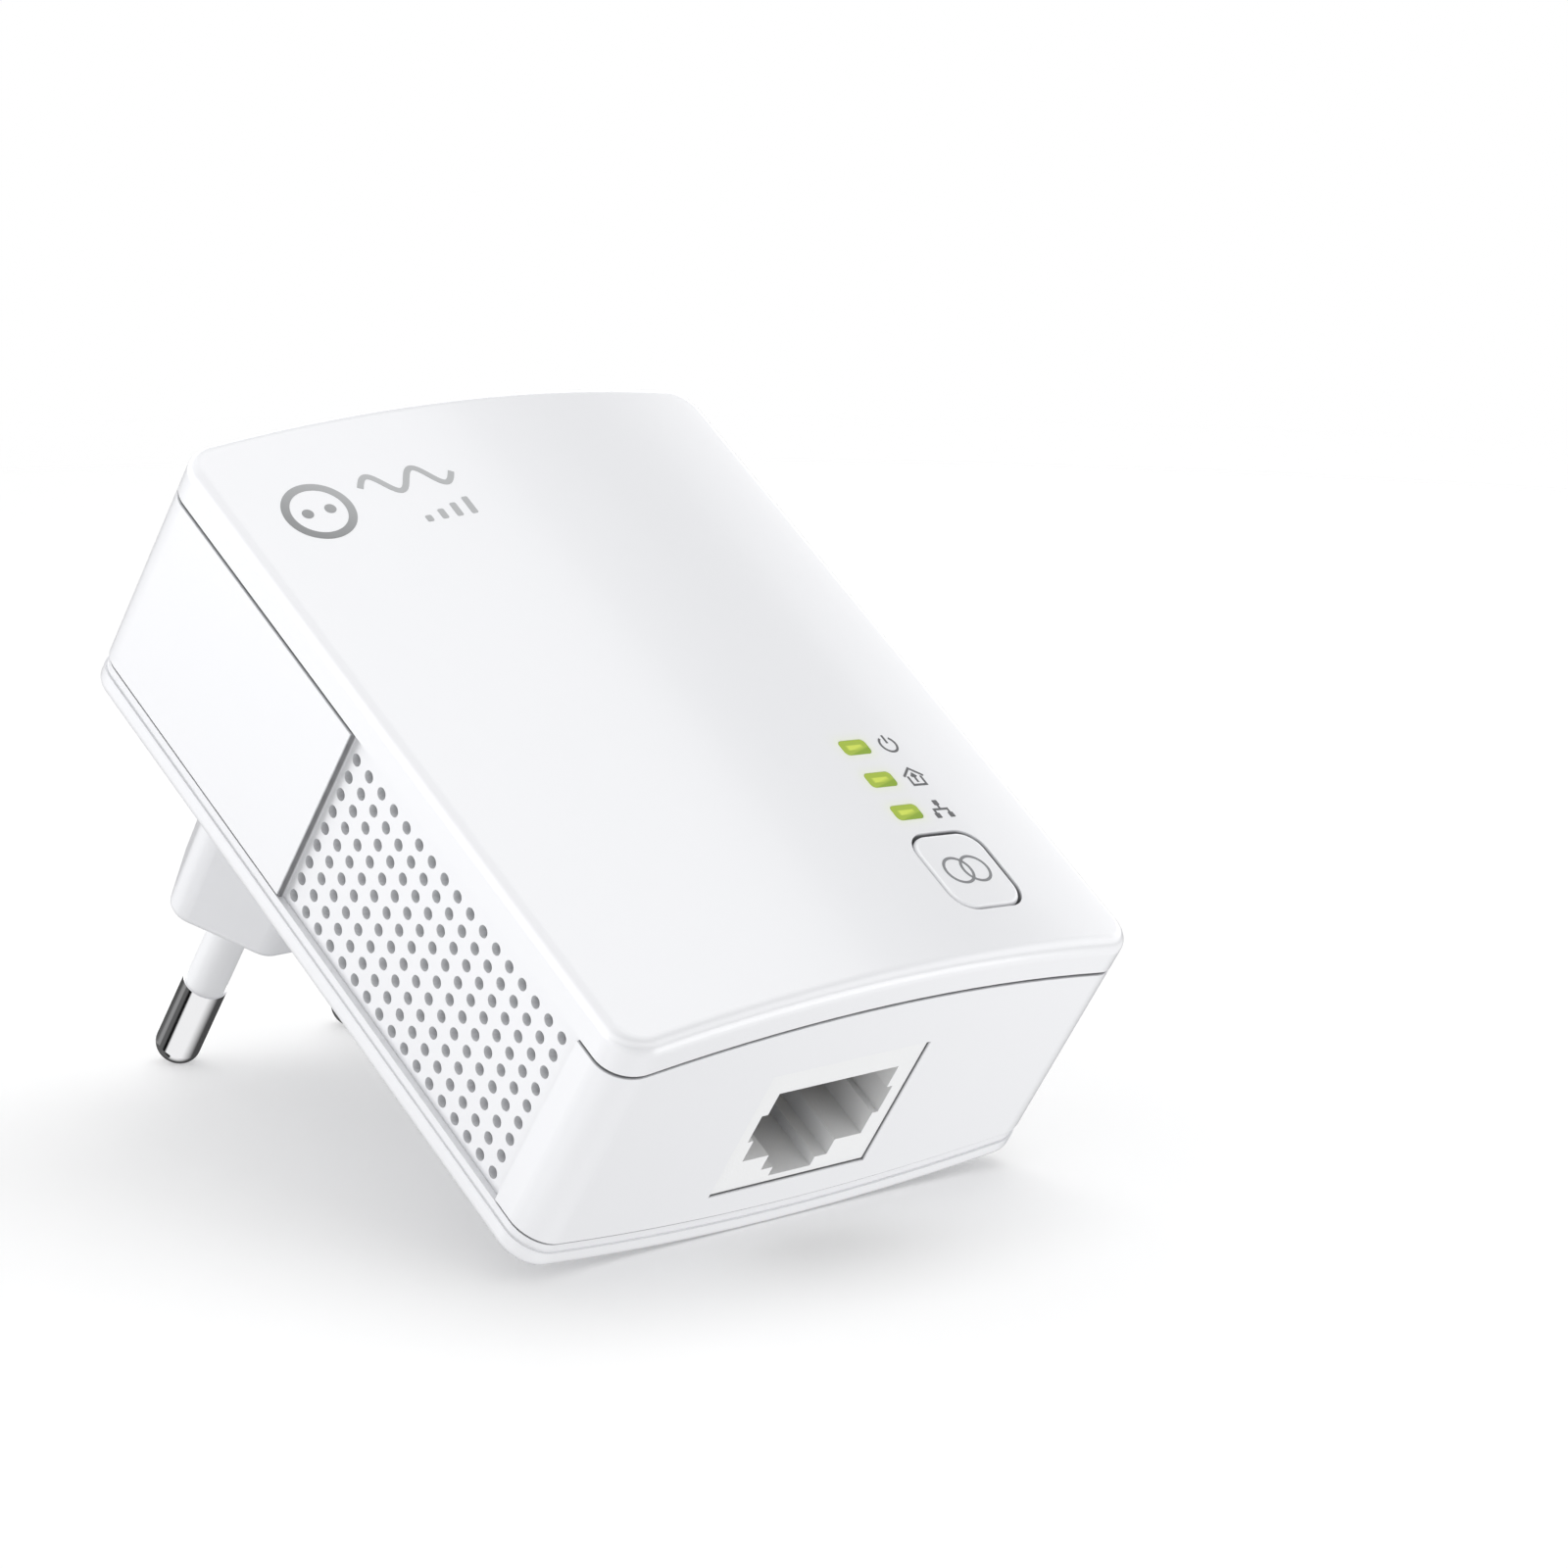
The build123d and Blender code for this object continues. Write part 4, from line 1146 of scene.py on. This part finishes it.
class ADAPTER_OT_boards(AdapterOperator, bpy.types.Operator):
    """Finish the two boards and give them screws, solder joints and small parts"""

    bl_idname = "adapter.boards"
    bl_label = "Boards"

    def make(self, scene):
        settings = scene.adapter_boards
        dress(("main_board", "power_board"), board_material(slot_colour("board_green")))
        black = moulded("header_black", slot_colour("part_black"), 0.5, drift=0.2, depth=0.02 * MM)
        dress(("board_header", "switch_body"), black)
        plunger = moulded("plunger_matt", slot_colour("plunger_grey"), 0.45, drift=0.1)
        dress(("switch_plunger",), plunger)
        self.screws()
        self.solder(settings)
        self.small_parts(settings)

    def screws(self):
        steel = metal("zinc_plate", slot_colour("screw_steel"), 0.3, stretch=(1.0, 1.0, 1.0), scale=4000.0,
                      tarnish=0.3)
        for node, turn, head_side in (
            ("main_board_screws", TOWARDS_BACK, 1),
            ("power_board_screws", TOWARDS_FRONT, -1),
        ):
            low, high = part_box(node)
            middle = box_middle(node)
            head, tall = high.z - low.z, 1.3 * MM
            top = high.y if head_side > 0 else low.y
            seat = top - head_side * tall
            values = {
                "Count": 2, "Spacing": high.x - low.x - head, "Head": head, "Rim": tall * 0.78,
                "Dome": tall * 0.2, "Shank": 2.0 * MM, "Length": 4.95 * MM, "Material": steel,
            }
            mesh = grow("screws", values, at(middle.x, seat, middle.z) @ turn)
            name = node.replace("_screws", "_cross_screws")
            finish_piece(name, mesh, steel, "adapter", (node,))

    def solder(self, settings):
        tin = metal("solder", (0.62, 0.63, 0.65), 0.25, stretch=(1.0, 1.0, 1.0), scale=900.0, tarnish=0.25)
        main_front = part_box("main_board")[0].y
        power_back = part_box("power_board")[1].y
        rows = (
            # node, depth, turn, joints across, joints up, pitch across, pitch up
            ("board_header", main_front, TOWARDS_FRONT, 1, 5, 0.0, 2.54 * MM),
            ("board_header", power_back, TOWARDS_BACK, 1, 5, 0.0, 2.54 * MM),
            ("coupling_transformer", main_front, TOWARDS_FRONT, 2, 3, 6.0 * MM, 2.2 * MM),
            ("transformer_core", power_back, TOWARDS_BACK, 4, 2, 3.2 * MM, 9.0 * MM),
            ("safety_capacitor", power_back, TOWARDS_BACK, 2, 1, 10.0 * MM, 0.0),
            ("bulk_capacitor", power_back, TOWARDS_BACK, 1, 2, 0.0, 5.0 * MM),
            ("choke_core", power_back, TOWARDS_BACK, 2, 2, 6.4 * MM, 6.0 * MM),
            ("fuse", power_back, TOWARDS_BACK, 1, 2, 0.0, 5.0 * MM),
        )
        meshes = []
        for node, depth, turn, across, up, pitch_across, pitch_up in rows:
            middle = box_middle(node)
            values = {
                "Across": across, "Up": up, "Pitch Across": pitch_across, "Pitch Up": pitch_up,
                "Width": settings.solder, "Height": settings.solder * 0.6, "Material": tin,
            }
            meshes.append(grow("solder", values, at(middle.x, depth, middle.z) @ turn))
        finish_piece("solder_joints", merged(meshes, "solder_joints"), tin, "adapter")

    def small_parts(self, settings):
        material, tree, shader, place = start_material("chip_part", Roughness=0.4, IOR=1.5)
        cells = put(tree, "ShaderNodeTexVoronoi", {"Vector": place, "Scale": 420.0}).outputs["Color"]
        pick = made(tree, "ShaderNodeSeparateColor", {"Color": cells})
        brown = remap(tree, pick, 0.45, 0.5)
        tone = mix_colours(tree, brown, (0.04, 0.04, 0.045, 1.0), (0.42, 0.30, 0.17, 1.0))
        tree.links.new(tone, shader["Base Color"])
        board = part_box("main_board")
        values = {
            "Across": 5, "Up": 3, "Pitch Across": 2.6 * MM, "Pitch Up": 2.2 * MM,
            "Size": (1.5 * MM, 0.8 * MM, 0.5 * MM), "Share": 0.62, "Material": material,
        }
        lift = 0.25 * MM
        spots = (
            (-1.0 * MM, 39.0 * MM, board[1].y + lift, TOWARDS_BACK),
            (-9.0 * MM, 31.0 * MM, board[0].y - lift, TOWARDS_FRONT),
            (4.0 * MM, 40.0 * MM, board[0].y - lift, TOWARDS_FRONT),
        )
        meshes = [grow("chip_parts", {**values, "Seed": settings.seed + 7 * i}, at(x, y, z) @ turn)
                  for i, (x, z, y, turn) in enumerate(spots)]
        finish_piece("chip_parts", merged(meshes, "chip_parts"), material, "adapter", smooth=False)


class ADAPTER_OT_supply(AdapterOperator, bpy.types.Operator):
    """Finish the parts of the power board and wind the choke"""

    bl_idname = "adapter.supply"
    bl_label = "Supply parts"

    def make(self, scene):
        settings = scene.adapter_boards
        looks = (
            # nodes, material, slot, roughness and the rest of the moulding
            (("fuse",), "fuse_body", "fuse_brown", 0.3,
             {"drift": 0.3, "depth": 0.02 * MM, "Coat_Weight": 0.3}),
            (("varistor",), "varistor_dip", "varistor_blue", 0.35,
             {"drift": 0.35, "waves": 700.0, "pitted": 0.1, "depth": 0.08 * MM, "Coat_Weight": 0.25}),
            (("safety_capacitor",), "film_box", "film_yellow", 0.32, {"drift": 0.18}),
            (("choke_core", "transformer_core"), "ground_ferrite", "ferrite", 0.5,
             {"drift": 0.4, "waves": 1500.0, "pits": 6000.0, "pitted": 0.6, "depth": 0.03 * MM}),
            (("bridge_rectifier", "coupling_transformer"), "moulded_package", "part_black", 0.48,
             {"drift": 0.25, "pits": 5200.0, "pitted": 0.6, "depth": 0.025 * MM}),
        )
        for nodes, name, slot, roughness, rest in looks:
            dress(nodes, moulded(name, slot_colour(slot), roughness, **rest))
        dress(("bulk_capacitor", "output_capacitor"), striped_can_material(slot_colour("can_sleeve")))
        dress(("transformer_winding",), wound_material(slot_colour("tape_yellow")))
        self.wind(settings)

    def wind(self, settings):
        """Two coils round the ring core, with the gap of the frame's winding between them."""
        copper = metal("enamelled_wire", slot_colour("copper_wire"), 0.22, stretch=(1.0, 1.0, 1.0),
                       scale=2500.0, tarnish=0.3, Coat_Weight=0.6)
        low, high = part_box("choke_core")
        middle = box_middle("choke_core")
        outer = (high.x - low.x) / 2
        inner = outer * CORE_HOLE_SHARE
        wire = settings.wire
        values = {
            "Turns": settings.turns, "Ring Radius": (outer + inner) / 2,
            "Loop Width": outer - inner + wire, "Loop Height": high.y - low.y + wire,
            "Wire": wire * 0.98, "Sweep": math.radians(122.0), "Material": copper,
        }
        meshes = [
            grow("coil", {**values, "Start": math.radians(start)}, at(*middle) @ TOWARDS_FRONT)
            for start in (-61.0, 119.0)
        ]
        coils = merged(meshes, "choke_coils")
        finish_piece("choke_coils", coils, copper, "adapter", ("choke_windings",))


class ADAPTER_OT_network(AdapterOperator, bpy.types.Operator):
    """Finish the chips and network parts and give them leads"""

    bl_idname = "adapter.network"
    bl_label = "Network parts"

    def make(self, scene):
        settings = scene.adapter_boards
        chip = moulded("chip_epoxy", slot_colour("part_black"), 0.55, drift=0.2, pits=6500.0, pitted=0.7,
                       depth=0.02 * MM)
        dress(("main_chip", "memory_chip", "network_transformer"), chip)
        dress(("thermal_pad",), moulded("silicone_pad", slot_colour("pad_grey"), 0.6, drift=0.15))
        sink = metal("extruded_fins", slot_colour("sink_aluminium"), 0.33, stretch=(50.0, 50.0, 1.0),
                     tarnish=0.12)
        dress(("heatsink",), sink)
        can = metal("drawn_can", slot_colour("can_metal"), 0.25, stretch=(1.0, 1.0, 40.0), tarnish=0.1)
        dress(("crystal",), can)
        tin = metal("tinned_lead", (0.66, 0.66, 0.67), 0.24, tarnish=0.2)
        pitch = settings.lead_pitch
        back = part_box("main_board")[1].y
        meshes = []
        for node, count, step, turn in (
            ("main_chip", 12, pitch, 0.0), ("main_chip", 12, pitch, 90.0),
            ("memory_chip", 4, 1.27 * MM, 0.0), ("network_transformer", 8, 1.27 * MM, 0.0),
        ):
            low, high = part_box(node)
            middle = box_middle(node)
            half = (high.z - low.z if turn else high.x - low.x) / 2
            values = {
                "Count": count, "Pitch": step, "Body": half, "Reach": 0.95 * MM,
                "Drop": (high.y - low.y) * 0.5, "Width": step * 0.42, "Thickness": 0.16 * MM, "Material": tin,
            }
            spin = Matrix.Rotation(math.radians(turn), 4, "Y")
            meshes.append(grow("leads", values, at(middle.x, back, middle.z) @ spin @ TOWARDS_BACK))
        finish_piece("chip_leads", merged(meshes, "chip_leads"), tin, "adapter", smooth=False)


def resting_plane():
    """Up direction and height of the plane that the back cover and the pins both touch."""
    points = {}
    for name in ("back_cover", "plug_pin_left"):
        mesh = NODES[name].data
        flat = np.empty(3 * len(mesh.vertices))
        mesh.vertices.foreach_get("co", flat)
        points[name] = flat.reshape(-1, 3)
    low, high = math.radians(30.0), math.radians(80.0)
    for _ in range(40):
        lean = (low + high) / 2
        up = np.array((0.0, -math.sin(lean), math.cos(lean)))
        heights = {name: (at_node @ up).min() for name, at_node in points.items()}
        if heights["plug_pin_left"] < heights["back_cover"]:
            high = lean
        else:
            low = lean
    return Vector(up), min(heights.values())


FLOOR_SEEN, FLOOR_BOUNCING, FLOOR_GLOW = 0.95, 0.66, 0.01  # paleness to the eye and to what it lights
FLOOR_FADE = 0.24, 0.40  # how far from the origin the floor gives way to the room


class ADAPTER_OT_stage(AdapterOperator, bpy.types.Operator):
    """Set up the floor, the light and the camera"""

    bl_idname = "adapter.stage"
    bl_label = "Stage"

    def make(self, scene):
        settings = scene.adapter_stage
        up, height = resting_plane()
        right = Vector(settings.camera_right).normalized()
        camera_up = Vector(settings.camera_up)
        camera_up = (camera_up - camera_up.dot(right) * right).normalized()
        back = right.cross(camera_up)
        floor = self.floor(settings, up, height)
        self.camera(scene, settings, right, camera_up, back)
        self.sky(scene, settings, up, right)
        middle = (cad_box[0] + cad_box[1]) / 2
        near = (back - back.dot(up) * up).normalized()
        side = near.cross(up) * -1.0
        if side.dot(right) < 0:
            side = -side
        unlit = bpy.data.collections.new("not_lit_from_the_sides")
        unlit.objects.link(floor)
        unlit.collection_objects[0].light_linking.link_state = "EXCLUDE"
        end = Vector((middle.x, middle.y, cad_box[0].z))
        for name, power, width, target, rise, across, nearer in (
            ("key_light", settings.key, 0.55, middle, 0.62, 0.16, -0.08),
            ("side_light", settings.side, 0.40, middle, 0.05, -0.60, 0.06),
            ("low_light", settings.low, 0.20, end, -0.105, 0.27, 0.075),
        ):
            place = target + rise * up + across * side + nearer * near
            lamp = self.lamp(name, power, width, place, target)
            if name != "key_light":
                lamp.light_linking.receiver_collection = unlit
        scene.view_settings.view_transform = "Standard"

    def floor(self, settings, up, height):
        """A pale floor that is seen from above only, so that it hides nothing from below. It lights the
        object less than it shows, which keeps the shadows under the object deep."""
        half = settings.floor_size / 2
        across = Vector((1.0, 0.0, 0.0))
        along = up.cross(across)
        mesh = bpy.data.meshes.new("floor")
        signs = ((-1, -1), (1, -1), (1, 1), (-1, 1))
        corners = [up * height + a * half * across + b * half * along for a, b in signs]
        mesh.from_pydata(corners, [], [(0, 1, 2, 3)])
        floor = bpy.data.objects.new("floor", mesh)
        bpy.context.collection.objects.link(floor)
        material = bpy.data.materials.new("floor_white")
        material.use_nodes = True
        tree = material.node_tree
        tree.nodes.clear()
        bounced = put(tree, "ShaderNodeLightPath").outputs["Is Diffuse Ray"]
        paleness = remap(tree, bounced, 0.0, 1.0, FLOOR_SEEN, FLOOR_BOUNCING)
        white = made(tree, "ShaderNodeBsdfDiffuse", {"Color": paleness})
        glow = made(tree, "ShaderNodeEmission", {"Strength": FLOOR_GLOW})
        lit = made(tree, "ShaderNodeAddShader", {0: white, 1: glow})
        clear = made(tree, "ShaderNodeBsdfTransparent")
        place = put(tree, "ShaderNodeTexCoord").outputs["Object"]
        away = put(tree, "ShaderNodeVectorMath", {0: place}, operation="LENGTH").outputs["Value"]
        faded = remap(tree, away, *FLOOR_FADE)
        behind = put(tree, "ShaderNodeNewGeometry").outputs["Backfacing"]
        hidden = larger(tree, behind, faded)
        # the part in front of the jack end is seen, but throws no light back on the object
        in_front = math_node(tree, "LESS_THAN", separate(tree, place)[2], 0.0)
        hidden = larger(tree, hidden, multiply(tree, in_front, bounced))
        one_sided = made(tree, "ShaderNodeMixShader", {0: hidden, 1: lit, 2: clear})
        put(tree, "ShaderNodeOutputMaterial", {"Surface": one_sided})
        mesh.materials.append(material)
        floor.visible_glossy = False
        floor.visible_shadow = False
        return floor

    def camera(self, scene, settings, right, camera_up, back):
        camera = bpy.data.objects.new("camera", bpy.data.cameras.new("camera"))
        bpy.context.collection.objects.link(camera)
        turn = Matrix((right, camera_up, back)).transposed()
        camera.matrix_world = Matrix.Translation(settings.camera_place) @ turn.to_4x4()
        camera.data.lens = settings.lens
        camera.data.sensor_width = 36.0
        camera.data.clip_start, camera.data.clip_end = 0.01, 20.0
        scene.camera = camera

    def sky(self, scene, settings, up, right):
        """A white room: brighter to the left and below, dimmer to the right, above and nearer. The camera
        sees it as plain white, and gloss mirrors its own version of it."""
        world = bpy.data.worlds.new("white_room")
        scene.world = world
        world.use_nodes = True
        tree = world.node_tree
        tree.nodes.clear()
        direction = put(tree, "ShaderNodeTexCoord").outputs["Generated"]
        rise, across, near = (
            put(tree, "ShaderNodeVectorMath", {0: direction, 1: axis}, operation="DOT_PRODUCT").outputs[1]
            for axis in (up, right, right.cross(up).normalized())
        )
        shade = remap(tree, across, -1.0, 1.0, 1.26, 0.76)
        lift = remap(tree, rise, -0.6, 0.8, 1.08, 0.9)
        dim = remap(tree, near, 0.0, 1.0, 1.05, 0.8)
        light = multiply(tree, multiply(tree, multiply(tree, shade, lift), settings.sky), dim)
        path = put(tree, "ShaderNodeLightPath").outputs
        light = mix_numbers(tree, path["Is Glossy Ray"], light, self.mirrored(tree, rise, across, near))
        seen = mix_numbers(tree, path["Is Camera Ray"], light, 1.0)
        background = put(tree, "ShaderNodeBackground", {"Strength": seen, "Color": (1.0, 1.0, 1.0, 1.0)})
        put(tree, "ShaderNodeOutputWorld", {"Surface": background.outputs[0]})

    def mirrored(self, tree, rise, across, near):
        """What gloss mirrors: bright overhead, greyer half way up, dark along the horizon, and below it
        dark cards to the left and right of a white one, for the bright pins."""
        zenith = remap(tree, rise, 0.66, 0.95, 0.15, 1.6)
        overhead = add(tree, zenith, remap(tree, rise, 0.62, 0.48, 0.0, 2.2))
        above = multiply(tree, overhead, remap(tree, rise, 0.06, 0.12, 0.04, 1.0))
        black = remap(tree, near, 0.20, 0.27)
        grey = remap(tree, near, 0.10, 0.02, 0.0, 0.12)
        left = larger(tree, add(tree, black, grey), remap(tree, rise, -0.30, -0.24, 0.0, 0.3))
        fading = remap(tree, near, -0.42, 0.22, 0.07, 1.0)
        right = larger(tree, fading, remap(tree, across, 0.46, 0.52))
        below = mix_numbers(tree, greater(tree, across, -0.5), left, right)
        below = multiply(tree, below, remap(tree, rise, -0.11, -0.17, 0.04, 1.0))
        return mix_numbers(tree, greater(tree, rise, 0.0), below, above)

    def lamp(self, name, power, size, place, target):
        light = bpy.data.lights.new(name, "AREA")
        light.energy, light.size, light.shape = power, size, "DISK"
        lamp = bpy.data.objects.new(name, light)
        bpy.context.collection.objects.link(lamp)
        lamp.location = place
        lamp.rotation_euler = (target - place).to_track_quat("-Z", "Y").to_euler()
        return lamp


OPERATORS = (
    ADAPTER_OT_shell,
    ADAPTER_OT_plug,
    ADAPTER_OT_jack,
    ADAPTER_OT_lights,
    ADAPTER_OT_signs,
    ADAPTER_OT_boards,
    ADAPTER_OT_supply,
    ADAPTER_OT_network,
    ADAPTER_OT_stage,
)


class ADAPTER_PT_panel(bpy.types.Panel):
    """Lists the adapter's operators and values"""

    bl_idname = "ADAPTER_PT_panel"
    bl_label = "Powerline adapter"
    bl_space_type = "VIEW_3D"
    bl_region_type = "UI"
    bl_category = "Adapter"

    def draw(self, context):
        for name, group in GROUPS.items():
            box = self.layout.box()
            for key in group.__annotations__:
                box.prop(getattr(context.scene, name), key)
        for operator in OPERATORS:
            self.layout.operator(operator.bl_idname)


CLASSES = (*GROUPS.values(), *OPERATORS, ADAPTER_PT_panel)


def register():
    for each in CLASSES:
        bpy.utils.register_class(each)
    for name, group in GROUPS.items():
        setattr(bpy.types.Scene, name, bpy.props.PointerProperty(type=group))


def unregister():
    for name in GROUPS:
        delattr(bpy.types.Scene, name)
    for each in reversed(CLASSES):
        bpy.utils.unregister_class(each)


def main():
    register()
    for operator in OPERATORS:
        family, name = operator.bl_idname.split(".")
        getattr(getattr(bpy.ops, family), name)()


if __name__ == "__main__":
    main()
